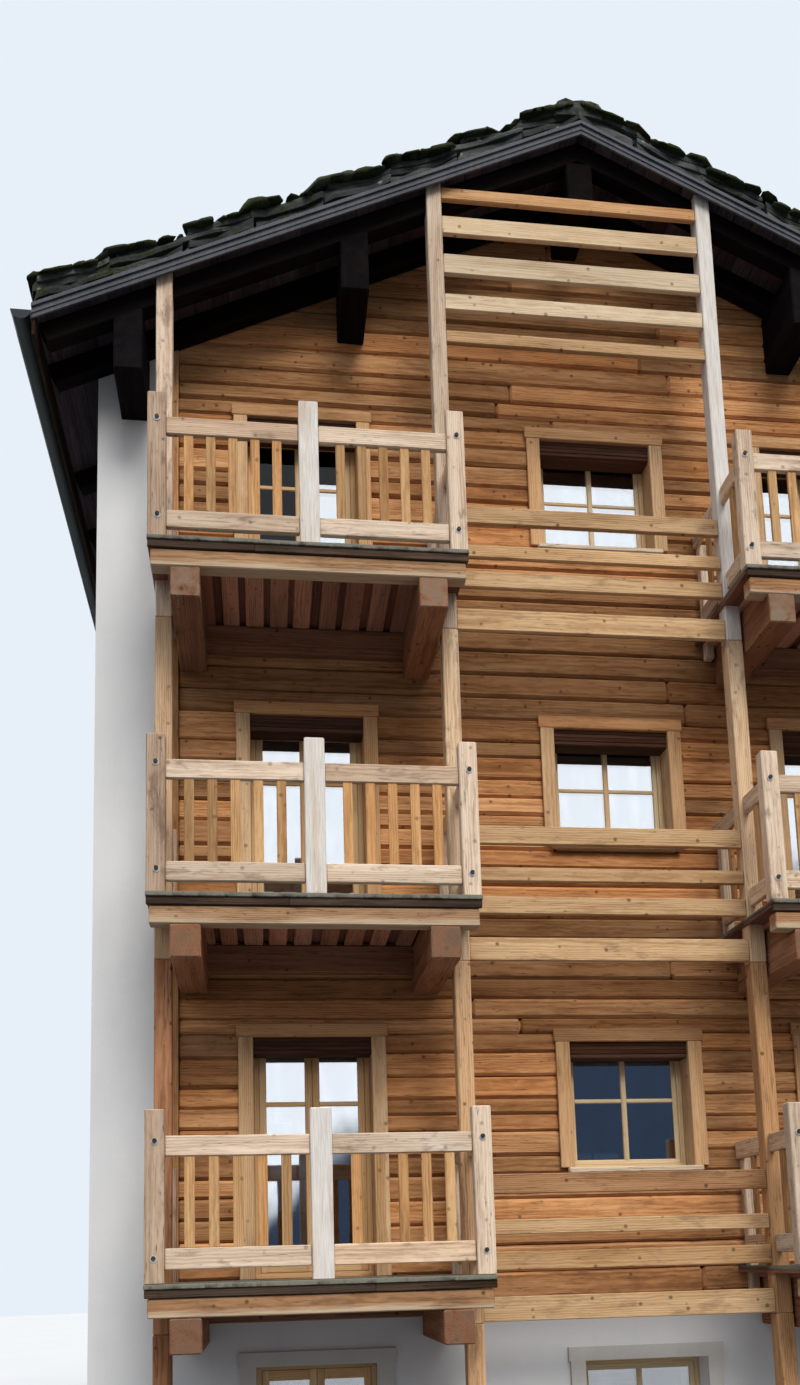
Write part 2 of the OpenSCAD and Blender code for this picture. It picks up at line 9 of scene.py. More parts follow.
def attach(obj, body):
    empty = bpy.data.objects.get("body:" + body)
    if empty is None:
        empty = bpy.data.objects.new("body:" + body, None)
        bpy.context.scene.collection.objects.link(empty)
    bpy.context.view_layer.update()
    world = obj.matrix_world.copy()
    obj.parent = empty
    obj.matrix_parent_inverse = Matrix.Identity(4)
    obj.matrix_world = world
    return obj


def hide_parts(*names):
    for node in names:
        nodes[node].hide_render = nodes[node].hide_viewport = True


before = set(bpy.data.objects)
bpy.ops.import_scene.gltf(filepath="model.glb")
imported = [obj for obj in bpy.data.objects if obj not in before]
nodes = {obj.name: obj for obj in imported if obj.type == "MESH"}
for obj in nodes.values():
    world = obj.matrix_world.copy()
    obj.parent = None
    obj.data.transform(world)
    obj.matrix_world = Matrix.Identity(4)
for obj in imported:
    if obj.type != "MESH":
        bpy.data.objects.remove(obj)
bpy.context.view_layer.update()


def placed(name, data):
    """A new object in the scene."""
    obj = bpy.data.objects.new(name, data)
    bpy.context.scene.collection.objects.link(obj)
    return obj


# Camera at the photo's viewing angle, from the photo's height and focal length in pixels
YAW, PITCH, ROLL = (math.radians(a) for a in (7.084, 8.180, 1.621))
PHOTO_H, CENTRE_ROW, FOCAL, SENSOR = 1385, 1100, 1123.146, 36
forward = Vector((math.sin(YAW) * math.cos(PITCH), math.cos(YAW) * math.cos(PITCH), math.sin(PITCH)))
level = Vector((math.cos(YAW), -math.sin(YAW), 0))
down = forward.cross(level)
across = math.cos(ROLL) * level + math.sin(ROLL) * down
below = math.cos(ROLL) * down - math.sin(ROLL) * level
camera = placed("camera", bpy.data.cameras.new("camera"))
camera.matrix_world = Matrix((across, -below, -forward)).transposed().to_4x4()
camera.location = (-3.009, -13.884, 2.954)
camera.data.sensor_width = SENSOR
camera.data.lens = SENSOR * FOCAL / PHOTO_H
camera.data.shift_y = (CENTRE_ROW - PHOTO_H / 2) / PHOTO_H
camera.data.clip_end = 400
bpy.context.scene.camera = camera
bpy.context.scene.view_settings.view_transform = "Standard"

# The house's own sizes in metres that no node's box gives
THETA = math.radians(25.4)
SLOPE, COS = math.tan(THETA), math.cos(THETA)
RIDGE_Z, STONE_TOP = 13.234, 13.6
BOARDING, RAFTER_D = 0.05, 0.2
RAFTER_X, EDGE_X, VERGE_Y = 4.83, 4.86, 5.2
COURSES, COURSE_EDGE = 8, 4.91
COURSE_HIGH, COURSE_LOW = 0.37, 0.28
INNER_X, SIDE_X, SIDE_WALL = 3.71, 4.41, 0.7
FACE_Y, WALL_IN = 4.5, 4.16
WALL_D = FACE_Y - WALL_IN
WALL_FOOT, WALL_TOP = 2.62, 13.2
GROUND, FLOORS = 0.12, (2.84, 5.74, 8.64)
STOREYS = (GROUND,) + FLOORS
WINDOW_FOOT, WINDOW_W, WINDOW_H = 0.87, 1.07, 1.10
WINDOW_HEAD = WINDOW_FOOT + WINDOW_H
DOOR_W, DOOR_H = 1.0, 2.02
HEAD_ROW, FOOT_ROW = 2.05, 0.82
REVEAL, FRAME_D = 0.19, 0.07
LINING, PELMET = 0.018, 0.145
WINDOW_X, DOOR_XS = 0.19, (-2.5775, 2.3375)
REAR_XS, SIDE_YS = (-2.45, 0.0, 2.45), (-2.25, 2.25)
POST_JOINTS = (2.457, 5.357, 8.257)
CORNER_JOINTS = (2.84, 5.9, 8.9, 11.4)
PLANK_D = 0.035


class Nodes:
    """Builds a node tree by short calls."""

    def __init__(self, tree):
        self.tree = tree

    def node(self, kind, inputs=None, **settings):
        n = self.tree.nodes.new("ShaderNode" + kind)
        for key, value in settings.items():
            setattr(n, key, value)
        for key, value in (inputs or {}).items():
            self.feed(n.inputs[key], value)
        return n

    def feed(self, socket, value):
        if isinstance(value, bpy.types.NodeSocket):
            self.tree.links.new(value, socket)
        elif isinstance(value, tuple) and len(value) == 3 and socket.type == "RGBA":
            socket.default_value = (*value, 1)
        else:
            socket.default_value = value

    def attribute(self, name, output="Fac"):
        return self.node("Attribute", attribute_name=name).outputs[output]

    def place(self):
        return self.node("TexCoord").outputs["Object"]

    def scaled(self, vector, scale):
        return self.node("VectorMath", {0: vector, 1: scale}, operation="MULTIPLY").outputs[0]

    def noise(self, vector, scale, detail=3.0, rough=0.5, warp=0.0):
        ins = {"Vector": self.scaled(vector, scale), "Scale": 1.0, "Detail": detail,
               "Roughness": rough, "Distortion": warp}
        return self.node("TexNoise", ins).outputs["Fac"]

    def math(self, operation, a, b=0.0, clamp=False):
        return self.node("Math", {0: a, 1: b}, operation=operation, use_clamp=clamp).outputs[0]

    def add(self, a, b, clamp=False):
        return self.math("ADD", a, b, clamp)

    def minus(self, a, b):
        return self.math("SUBTRACT", a, b)

    def times(self, a, b, clamp=False):
        return self.math("MULTIPLY", a, b, clamp)

    def span(self, value, low, high, to_low=0.0, to_high=1.0):
        ins = {"Value": value, "From Min": low, "From Max": high, "To Min": to_low, "To Max": to_high}
        return self.node("MapRange", ins, interpolation_type="SMOOTHSTEP").outputs[0]

    def mix(self, factor, a, b, blend="MIX"):
        return self.node("Mix", {0: factor, 6: a, 7: b}, data_type="RGBA", blend_type=blend).outputs[2]

    def ramp(self, factor, *stops):
        n = self.node("ValToRGB", {"Fac": factor})
        points = n.color_ramp.elements
        while len(points) < len(stops):
            points.new(0.5)
        for point, (at, color) in zip(points, stops):
            point.position = at
            point.color = (*color, 1)
        return n.outputs["Color"]


class Shade(Nodes):
    """A procedural material for a slot."""

    def __init__(self, name, slot, rough=0.7, specular=0.3, metallic=0.0):
        self.m = bpy.data.materials.new(name)
        self.m.use_nodes = True
        super().__init__(self.m.node_tree)
        self.slot = slot
        self.bsdf = self.tree.nodes["Principled BSDF"]
        for key, value in (("Roughness", rough), ("Specular IOR Level", specular), ("Metallic", metallic)):
            self.bsdf.inputs[key].default_value = value

    def bump(self, height, strength, distance):
        ins = {"Height": height, "Strength": strength, "Distance": distance}
        self.feed(self.bsdf.inputs["Normal"], self.node("Bump", ins).outputs[0])

    def done(self, color, rough=None):
        self.feed(self.bsdf.inputs["Base Color"], color)
        if rough is not None:
            self.feed(self.bsdf.inputs["Roughness"], rough)
        return self


def toned(color, k):
    return tuple(c * k for c in color)


def wood(name, slot, dark, mid, light, worn=(0.4, 0.36, 0.3), tint=(1.0, 0.8, 0.62), rough=0.72,
         knots=1.0, cracks=1.0, spread=0.35, depth=0.5, specular=0.1, stain=0.0):
    """Sawn timber: grain, growth rings, knots and drying cracks along each board."""
    s = Shade(name, slot, specular=specular)
    grain = s.attribute("gco", "Vector")
    tone = s.attribute("tone")
    streak = s.noise(grain, (0.9, 8, 8), 5, 0.62, 0.5)
    fine = s.noise(grain, (5, 170, 170), 3, 0.6)
    rings = s.node("TexWave", {"Vector": s.scaled(grain, (0.3, 1, 1)), "Scale": 19.0, "Distortion": 5.0,
                               "Detail": 3.0, "Detail Scale": 0.9},
                   wave_type="RINGS", rings_direction="X").outputs["Fac"]
    body = s.add(s.times(streak, 0.68), s.add(s.times(rings, 0.13), s.times(fine, 0.19)))
    color = s.ramp(s.span(body, 0.16, 0.82), (0.0, dark), (0.5, mid), (1.0, light))
    warm = s.mix(s.span(tone, 0.35, 1.0, 0.0, 0.6), color, s.mix(1.0, color, tint, "MULTIPLY"))
    shift = s.node("TexWhiteNoise", {"W": tone}, noise_dimensions="1D").outputs["Value"]
    value = s.span(shift, 0.0, 1.0, 1.0 - spread, 1.0 + spread)
    color = s.node("HueSaturation", {"Color": warm, "Value": value}).outputs[0]
    if stain:
        patch = s.span(s.noise(grain, (2.6, 7, 7), 4, 0.65, 0.3), 0.54, 0.7, 0.0, stain)
        color = s.mix(patch, color, tuple(d * 0.7 + 0.02 for d in dark))
    cell = s.node("TexVoronoi", {"Vector": grain, "Scale": 6.8, "Randomness": 1.0})
    knot = s.times(s.span(cell.outputs["Distance"], 0.16, 0.06), knots, True)
    color = s.mix(s.times(knot, 0.75), color, toned(dark, 0.35))
    split = s.math("ABSOLUTE", s.minus(s.noise(grain, (0.9, 42, 42), 2, 0.5, 0.3), 0.5))
    crack = s.times(s.span(split, 0.010, 0.003), cracks, True)
    color = s.mix(s.times(crack, 0.7), color, toned(dark, 0.3))
    age = s.add(s.attribute("worn"), s.times(s.minus(streak, 0.5), 1.3))
    grey = s.mix(s.span(fine, 0.3, 0.7), toned(worn, 0.72), worn)
    color = s.mix(s.span(age, 0.45, 0.95), color, grey)
    s.bump(s.minus(s.add(s.times(fine, 0.35), s.times(rings, 0.25)),
                   s.add(s.times(crack, 0.9), s.times(knot, 0.25))), depth, 0.004)
    return s.done(color, s.span(streak, 0.2, 0.8, rough + 0.1, rough - 0.08))


# Woods: name, slot, the grain's dark, middle and light colours
wall_wood = wood("wall_wood", "wall_boards", (0.20, 0.084, 0.033), (0.44, 0.216, 0.092),
                 (0.61, 0.35, 0.17), spread=0.38, knots=0.9, stain=0.3)
pale_wood = wood("pale_wood", "weathered_timber", (0.33, 0.22, 0.145), (0.60, 0.46, 0.345),
                 (0.77, 0.64, 0.51), worn=(0.77, 0.73, 0.68), tint=(1.0, 0.86, 0.71),
                 spread=0.17, knots=0.7, cracks=0.8, stain=0.75)
post_wood = wood("post_wood", "weathered_timber", (0.32, 0.19, 0.105), (0.64, 0.45, 0.285),
                 (0.78, 0.60, 0.42), worn=(0.64, 0.53, 0.42), tint=(1.0, 0.82, 0.64),
                 spread=0.12, knots=0.7, cracks=0.7, stain=0.6)
foot_wood = wood("foot_wood", "weathered_timber", (0.145, 0.057, 0.027), (0.33, 0.153, 0.077),
                 (0.485, 0.25, 0.137), worn=(0.50, 0.30, 0.19), spread=0.12, stain=0.5)
warm_post_wood = wood("warm_post_wood", "weathered_timber", (0.31, 0.16, 0.078), (0.64, 0.39, 0.21),
                      (0.78, 0.53, 0.32), worn=(0.64, 0.46, 0.31), tint=(1.0, 0.82, 0.64),
                      spread=0.06, stain=0.6)
brown_post_wood = wood("brown_post_wood", "weathered_timber", (0.22, 0.10, 0.045), (0.46, 0.25, 0.115),
                       (0.60, 0.36, 0.19), worn=(0.50, 0.31, 0.18), spread=0.06, stain=0.5)
gable_slat_wood = wood("gable_slat_wood", "weathered_timber", (0.37, 0.255, 0.15), (0.59, 0.455, 0.305),
                       (0.72, 0.60, 0.44), tint=(1.0, 0.9, 0.76), spread=0.1, knots=0.9, cracks=0.4)
slat_wood = wood("slat_wood", "weathered_timber", (0.27, 0.15, 0.07), (0.51, 0.32, 0.165),
                 (0.66, 0.47, 0.28), worn=(0.56, 0.48, 0.38), tint=(1.0, 0.84, 0.68),
                 spread=0.16, knots=1.0, cracks=0.7, stain=0.5)
baluster_wood = wood("baluster_wood", "weathered_timber", (0.24, 0.12, 0.05), (0.46, 0.265, 0.12),
                     (0.61, 0.40, 0.20), spread=0.26, knots=0.7, cracks=0.5, stain=0.3)
casing_wood = wood("casing_wood", "casing_timber", (0.30, 0.165, 0.075), (0.56, 0.365, 0.205),
                   (0.70, 0.50, 0.31), tint=(1.0, 0.8, 0.6), spread=0.14, knots=0.8, cracks=0.4, stain=0.25)
head_wood = wood("head_wood", "casing_timber", (0.26, 0.12, 0.048), (0.50, 0.27, 0.125),
                 (0.64, 0.41, 0.22), spread=0.14, knots=0.8, cracks=0.4, stain=0.25)
ridge_slat_wood = wood("ridge_slat_wood", "casing_timber", (0.32, 0.15, 0.06), (0.52, 0.28, 0.13),
                       (0.64, 0.40, 0.21), spread=0.1, knots=0.6, cracks=0.4)
window_wood = wood("window_wood", "window_wood", (0.38, 0.27, 0.14), (0.60, 0.46, 0.28), (0.72, 0.58, 0.38),
                   spread=0.1, knots=0.2, cracks=0.2, rough=0.5, depth=0.2, specular=0.25)
door_wood = wood("door_wood", "window_wood", (0.34, 0.20, 0.09), (0.55, 0.37, 0.19), (0.66, 0.48, 0.28),
                 spread=0.1, knots=0.3, cracks=0.2, rough=0.5, depth=0.2, specular=0.25)
sill_wood = wood("sill_wood", "sill_timber", (0.34, 0.25, 0.17), (0.54, 0.44, 0.32), (0.66, 0.57, 0.44),
                 spread=0.15, knots=0.4)
# Pelmet wood: near black, painted shade for the shutter boxes that sit in the shade of the reveals' heads
pelmet_painted_shade_wood = wood("pelmet_painted_shade_wood", "casing_timber", (0.025, 0.010, 0.006), (0.060, 0.027, 0.016),
                   (0.105, 0.052, 0.032), spread=0.25, knots=0.2, cracks=0.3)
deck_wood = wood("deck_wood", "deck_timber", (0.04, 0.030, 0.024), (0.085, 0.064, 0.050),
                 (0.14, 0.11, 0.085), worn=(0.22, 0.215, 0.175), spread=0.2, knots=0.5)
edge_wood = wood("edge_wood", "deck_timber", (0.022, 0.014, 0.010), (0.055, 0.036, 0.026),
                 (0.10, 0.07, 0.05), worn=(0.12, 0.115, 0.09), spread=0.2, knots=0.4)
under_wood = wood("under_wood", "deck_timber", (0.235, 0.105, 0.07), (0.45, 0.225, 0.155),
                  (0.59, 0.33, 0.235), spread=0.28, knots=0.6)
# Cover wood: the upper boards seen in the gaps of a deck's underside, darker than the under planks as painted
# shade in the gaps
cover_painted_shade_wood = wood("cover_painted_shade_wood", "deck_timber", (0.08, 0.036, 0.026), (0.19, 0.090, 0.064),
                  (0.28, 0.14, 0.10), spread=0.25, knots=0.4)
beam_wood = wood("beam_wood", "beam_timber", (0.16, 0.080, 0.040), (0.37, 0.215, 0.115),
                 (0.54, 0.35, 0.205), worn=(0.56, 0.42, 0.28), spread=0.15, stain=0.5)
# Corbel woods: the lower balconies' corbels get a darker colour on their worn ends, painted shade from the
# balconies above
corbel_wood, low_corbel_painted_shade_wood = (
    wood(name, "corbel_timber", (0.12, 0.050, 0.027), (0.27, 0.130, 0.073), (0.39, 0.21, 0.12), worn=worn,
         spread=0.2)
    for name, worn in (("corbel_wood", (0.26, 0.19, 0.135)), ("low_corbel_painted_shade_wood", (0.195, 0.115, 0.075))))
stained_wood = wood("stained_wood", "weathered_timber", (0.22, 0.135, 0.085), (0.42, 0.295, 0.207),
                    (0.54, 0.41, 0.306), worn=(0.54, 0.47, 0.41), tint=(1.0, 0.86, 0.71),
                    spread=0.12, stain=0.75)
# Roof wood: a dark stain, taken near black as painted shade under the roof
roof_stain_and_shade_wood = wood("roof_stain_and_shade_wood", "roof_timber", (0.003, 0.003, 0.003), (0.007, 0.006, 0.007),
                 (0.014, 0.011, 0.011), spread=0.25, knots=0.4, specular=0.02)
soffit_wood = wood("soffit_wood", "roof_boards", (0.030, 0.023, 0.028), (0.065, 0.052, 0.062),
                   (0.10, 0.082, 0.092), spread=0.3, knots=0.4, specular=0.03)
fascia_wood = wood("fascia_wood", "fascia_timber", (0.012, 0.008, 0.007), (0.028, 0.018, 0.014),
                   (0.05, 0.034, 0.026), spread=0.2, specular=0.03)


def plaster(name, slot, low, high, dirt):
    """Float-finished render with soft clouds of tone and weather stains."""
    s = Shade(name, slot, rough=0.9, specular=0.06)
    p = s.place()
    cloud = s.noise(p, (1.3, 1.3, 0.9), 5, 0.6, 0.3)
    grit = s.noise(p, (90, 90, 90), 4, 0.7)
    trowel = s.noise(p, (5, 5, 9), 3, 0.5, 0.8)
    color = s.mix(s.span(cloud, 0.3, 0.7), low, high)
    runs = s.noise(p, (7, 7, 0.5), 4, 0.6)
    foot = s.span(s.node("SeparateXYZ", {0: p}).outputs["Z"], 0.75, 0.0)
    stain = s.add(s.span(runs, 0.55, 0.85, 0.0, 0.25), s.times(foot, s.span(cloud, 0.3, 0.6)))
    color = s.mix(s.math("MINIMUM", stain, 0.75), color, dirt)
    color = s.mix(s.span(grit, 0.35, 0.65, 0.0, 0.16), color, dirt)
    s.bump(s.add(s.times(grit, 0.5), s.times(trowel, 1.2)), 0.35, 0.004)
    return s.done(color)


white_plaster = plaster("white_plaster", "plaster", (0.645, 0.655, 0.67), (0.70, 0.71, 0.72),
                        (0.50, 0.50, 0.49))
pale_render = plaster("pale_render", "pale_render", (0.50, 0.49, 0.46), (0.60, 0.59, 0.56),
                      (0.36, 0.34, 0.3))
concrete = plaster("concrete", "concrete", (0.30, 0.30, 0.29), (0.40, 0.40, 0.385), (0.22, 0.21, 0.2))

MOSS = (0.012, 0.018, 0.009), (0.042, 0.052, 0.023)
LICHEN = (0.24, 0.26, 0.22)


def stone(name, dark, mid, light, moss_amount):
    """Split stone: layered tone, moss in patches and pale lichen spots."""
    s = Shade(name, name, specular=0.08)
    p = s.attribute("gco", "Vector")
    tone = s.attribute("tone")
    cloud = s.noise(p, (2.2, 2.2, 7), 5, 0.65, 0.5)
    grit = s.noise(p, (38, 38, 70), 4, 0.7)
    color = s.ramp(s.add(s.times(cloud, 0.65), s.times(grit, 0.35)), (0.3, dark), (0.5, mid), (0.72, light))
    value = s.span(tone, 0.0, 1.0, 0.65, 1.35)
    color = s.node("HueSaturation", {"Color": color, "Value": value}).outputs[0]
    patch = s.noise(p, (1.7, 1.7, 1.7), 6, 0.7, 0.6)
    moss = s.span(patch, 0.66 - moss_amount, 0.76 - moss_amount)
    green = s.mix(s.span(grit, 0.3, 0.7), *MOSS)
    color = s.mix(s.times(moss, 0.9), color, green)
    nose = s.span(s.add(s.attribute("worn"), s.times(s.minus(cloud, 0.5), 1.2)), 0.5, 0.8)
    color = s.mix(nose, color, light)
    spot = s.node("TexVoronoi", {"Vector": p, "Scale": 6.5})
    lichen = s.span(s.add(spot.outputs["Distance"], s.times(grit, 0.22)), 0.27, 0.22)
    rare = s.math("GREATER_THAN", s.node("SeparateColor", {0: spot.outputs["Color"]}).outputs[0], 0.62)
    color = s.mix(s.times(s.times(lichen, rare), 0.7), color, LICHEN)
    s.bump(s.add(s.times(grit, 0.6), s.add(cloud, s.times(moss, 0.7))), 0.6, 0.008)
    return s.done(color, s.span(moss, 0.0, 1.0, 0.72, 0.95))


roof_stone = stone("roof_stone", (0.018, 0.022, 0.021), (0.048, 0.055, 0.052), (0.125, 0.140, 0.126), 0.14)
ridge_stone = stone("ridge_stone", (0.020, 0.023, 0.020), (0.060, 0.067, 0.056), (0.19, 0.20, 0.17), 0.13)
sill_stone = stone("sill_stone", (0.20, 0.20, 0.19), (0.31, 0.31, 0.295), (0.42, 0.42, 0.4), -0.09)


def moss_shade():
    """Moss cushions: deep green with yellow and brown tips."""
    s = Shade("moss", "roof_stone", rough=0.97, specular=0.03)
    p = s.attribute("gco", "Vector")
    tuft = s.noise(p, (60, 60, 60), 4, 0.7)
    cloud = s.noise(p, (3.5, 3.5, 3.5), 4, 0.6, 0.4)
    color = s.mix(s.span(tuft, 0.3, 0.7), *MOSS)
    color = s.mix(s.span(cloud, 0.55, 0.7, 0.0, 0.6), color, (0.062, 0.046, 0.018))
    color = s.mix(s.span(s.attribute("tone"), 0.72, 0.95, 0.0, 0.55), color, (0.070, 0.082, 0.062))
    s.bump(tuft, 0.8, 0.012)
    return s.done(color)


moss_green = moss_shade()


def metal(name, slot, low, high, rough, metallic):
    """Painted or coated sheet, dulled and streaked by rain."""
    s = Shade(name, slot, metallic=metallic, specular=0.2)
    p = s.place()
    cloud = s.noise(p, (3, 3, 3), 5, 0.6, 0.4)
    runs = s.noise(p, (24, 24, 1.5), 3, 0.6)
    fine = s.noise(p, (160, 160, 160), 2, 0.6)
    amount = s.add(s.times(cloud, 0.6), s.times(runs, 0.4))
    color = s.mix(s.span(amount, 0.35, 0.65), low, high)
    color = s.mix(s.span(fine, 0.5, 0.75, 0.0, 0.25), color, toned(high, 1.8))
    s.bump(s.add(cloud, s.times(fine, 0.15)), 0.12, 0.006)
    return s.done(color, s.span(amount, 0.3, 0.7, rough - 0.1, rough + 0.15))


strip_metal = metal("strip_metal", "strip_metal", (0.046, 0.047, 0.056), (0.096, 0.096, 0.110), 0.55, 0.15)
gutter_metal = metal("gutter_metal", "gutter_metal", (0.010, 0.015, 0.015), (0.022, 0.030, 0.029), 0.5, 0.15)
iron = metal("iron", "strip_metal", (0.02, 0.016, 0.014), (0.06, 0.05, 0.042), 0.6, 0.1)
zinc = metal("zinc", "strip_metal", (0.36, 0.35, 0.33), (0.55, 0.54, 0.51), 0.55, 0.1)


def laid_boards(name, slot, dark, mid, light, width):
    """Floor boards along X, drawn by the place alone."""
    s = Shade(name, slot, rough=0.55, specular=0.3)
    p = s.place()
    ins = {"Vector": p, "Color1": mid, "Color2": light, "Mortar": toned(dark, 0.2), "Scale": 1.0,
           "Mortar Size": 0.003, "Brick Width": 3.4, "Row Height": width, "Bias": -0.1}
    board = s.node("TexBrick", ins, offset=0.37, offset_frequency=2)
    streak = s.noise(p, (1.2, 30, 30), 4, 0.6)
    color = s.mix(s.span(streak, 0.35, 0.7, 0.0, 0.7), board.outputs["Color"], dark)
    s.bump(s.minus(s.times(streak, 0.3), board.outputs["Fac"]), 0.3, 0.003)
    return s.done(color, s.span(streak, 0.3, 0.7, 0.45, 0.65))


floor_wood = laid_boards("floor_wood", "floor_boards", (0.13, 0.07, 0.035), (0.24, 0.14, 0.07),
                         (0.30, 0.18, 0.095), 0.145)


def glass_shade():
    """Coated double glazing: it mirrors the sky and lets the dark room show faintly.

    One upper door has a painted reflection: by place, its left leaf and the top of its right leaf mirror
    almost nothing and show a dark tint, standing in for a dark reflection."""
    s = Shade("window_glass", "pane")
    s.tree.nodes.remove(s.bsdf)
    p = s.place()
    ripple = s.noise(p, (2.5, 2.5, 2.5), 2)
    normal = s.node("Bump", {"Height": ripple, "Strength": 0.04, "Distance": 0.02}).outputs[0]
    shine = s.node("BsdfGlossy", {"Color": (0.97, 0.98, 1.0), "Roughness": 0.03, "Normal": normal}).outputs[0]
    facing = s.node("LayerWeight", {"Blend": 0.5}).outputs["Facing"]
    edge = s.add(s.times(s.math("POWER", facing, 4.0), 0.6), 0.36)
    smear = s.add(edge, s.span(s.noise(p, (9, 9, 3), 4), 0.4, 0.8, -0.02, 0.02), True)
    at = s.node("SeparateXYZ", {0: p}).outputs
    # Painted reflection: a mask by place over the upper left door (its left leaf and the top of its right
    # leaf), where the mirror is taken out and a dark tint is painted
    painted_dark_reflection = s.math("MAXIMUM", s.math("LESS_THAN", at["X"], DOOR_XS[0]),
                  s.math("GREATER_THAN", at["Z"], FLOORS[2] + 1.54))
    for side in (s.math("LESS_THAN", at["X"], DOOR_XS[0] + DOOR_W),
                 s.math("GREATER_THAN", at["Z"], FLOORS[2]), s.math("LESS_THAN", at["Y"], -WALL_IN)):
        painted_dark_reflection = s.times(painted_dark_reflection, side)
    tint = s.mix(painted_dark_reflection, (0.50, 0.54, 0.58), (0.13, 0.15, 0.20))
    clear = s.node("BsdfTransparent", {"Color": tint}).outputs[0]
    coat = s.times(smear, s.minus(1.0, s.times(painted_dark_reflection, 0.96)))
    both = s.node("MixShader", {0: coat, 1: clear, 2: shine}).outputs[0]
    s.feed(s.tree.nodes["Material Output"].inputs["Surface"], both)
    return s


glass = glass_shade()


class Piece:
    """Collects solids, then makes one mesh of them."""

    def __init__(self, name):
        self.name = name
        self.rng = random.Random(name)
        self.points, self.faces, self.grain, self.tone, self.worn = [], [], [], [], []
        self.count = 0

    def add(self, points, faces, grain, tone=None, worn=0.0):
        n = len(points)
        tone = self.rng.random() if tone is None else tone
        self.points.append(np.asarray(points, float))
        self.faces += [[self.count + i for i in f] for f in faces]
        self.grain.append(np.asarray(grain, float))
        self.tone.append(np.full(n, tone))
        self.worn.append(np.broadcast_to(worn, n))
        self.count += n

    def make(self, shade, *replaced, smooth=False):
        mesh = bpy.data.meshes.new(self.name)
        mesh.from_pydata(np.concatenate(self.points).tolist(), [], self.faces)
        mesh.attributes.new("gco", "FLOAT_VECTOR", "POINT").data.foreach_set(
            "vector", np.concatenate(self.grain).ravel())
        for key, values in (("tone", self.tone), ("worn", self.worn)):
            mesh.attributes.new(key, "FLOAT", "POINT").data.foreach_set("value", np.concatenate(values))
        mesh.materials.append(shade.m)
        mesh.polygons.foreach_set("use_smooth", [smooth] * len(mesh.polygons))
        obj = placed(self.name, mesh)
        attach(obj, "root")
        if replaced:
            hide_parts(*replaced)


AXES = ((0, 1, 2), (1, 2, 0), (2, 0, 1))


def octagon(u0, u1, v0, v1, b):
    return [(u0 + b, v0), (u1 - b, v0), (u1, v0 + b), (u1, v1 - b),
            (u1 - b, v1), (u0 + b, v1), (u0, v1 - b), (u0, v0 + b)]


def skin(rings, m):
    """The quads between rings of m points each."""
    return [(r * m + i, r * m + (i + 1) % m, (r + 1) * m + (i + 1) % m, (r + 1) * m + i)
            for r in range(rings - 1) for i in range(m)]


def turned(faces, side):
    """Faces of a solid that is mirrored where side is negative."""
    return faces if side > 0 else [f[::-1] for f in faces]


def both_sides(near, far):
    """A span right of the middle and its mirror image, the left one first."""
    return (-far, -near), (near, far)


def timber(piece, lo, hi, axis, bevel=0.006, wobble=0.0, step=1.2, place=None, cut=None, tone=None, worn=0.0):
    """One board or beam from lo to hi along an axis, edges taken off, its sides slightly uneven."""
    rng = piece.rng
    a, u, v = AXES[axis]
    size = [hi[i] - lo[i] for i in range(3)]
    b = min(bevel, size[u] * 0.35, size[v] * 0.35, size[a] * 0.35)
    inner = max(0, int(size[a] / step) - 1) if wobble else 0
    marks = [lo[a] + b + (size[a] - 2 * b) * i / (inner + 1) for i in range(inner + 2)]
    stations = [(lo[a], b)] + [(m, 0) for m in marks] + [(hi[a], b)]
    start = rng.uniform(0, 200)
    pith = (rng.uniform(-0.13, 0.13), rng.uniform(-0.13, 0.13))
    middle = ((lo[u] + hi[u]) / 2, (lo[v] + hi[v]) / 2)
    points, grain = [], []
    for at, shrink in stations:
        k = [shrink + rng.uniform(0, wobble) for _ in range(4)]
        for pu, pv in octagon(lo[u] + k[0], hi[u] - k[1], lo[v] + k[2], hi[v] - k[3], b):
            p = [0.0] * 3
            p[a], p[u], p[v] = at, pu, pv
            points.append(p)
            grain.append((at + start, pu - middle[0] + pith[0], pv - middle[1] + pith[1]))
    n = len(stations)
    faces = skin(n, 8) + [tuple(range(7, -1, -1)), tuple(range((n - 1) * 8, n * 8))]
    points = np.array(points)
    if place is not None:
        m = np.array(place)
        points = points @ m[:3, :3].T + m[:3, 3]
    if cut is not None:
        points = cut(points)
    piece.add(points, faces, grain, tone, worn(points) if callable(worn) else worn)


def solids(node):
    """The boxes of a node's separate solids, in order."""
    mesh = nodes[node].data
    keys = [tuple(np.round(v.co, 4)) for v in mesh.vertices]
    parent = {k: k for k in keys}

    def top(k):
        while parent[k] != k:
            parent[k] = parent[parent[k]]
            k = parent[k]
        return k

    for face in mesh.polygons:
        first = top(keys[face.vertices[0]])
        for i in face.vertices[1:]:
            parent[top(keys[i])] = first
    groups = {}
    for k in parent:
        groups.setdefault(top(k), []).append(k)
    return sorted((tuple(np.min(g, axis=0)), tuple(np.max(g, axis=0))) for g in groups.values())


def below_boards(drop):
    """Cuts what stands under the roof at a distance below its boarding."""
    def cut(points):
        points[:, 2] = np.minimum(points[:, 2], RIDGE_Z - SLOPE * np.abs(points[:, 0]) - drop)
        return points
    return cut


def inside_slope(points):
    """Cuts the ends of a wall's rows to the roof's slope."""
    reach = (RIDGE_Z - points[:, 2]) / SLOPE
    points[:, 0] = np.clip(points[:, 0], -reach, reach)
    return points


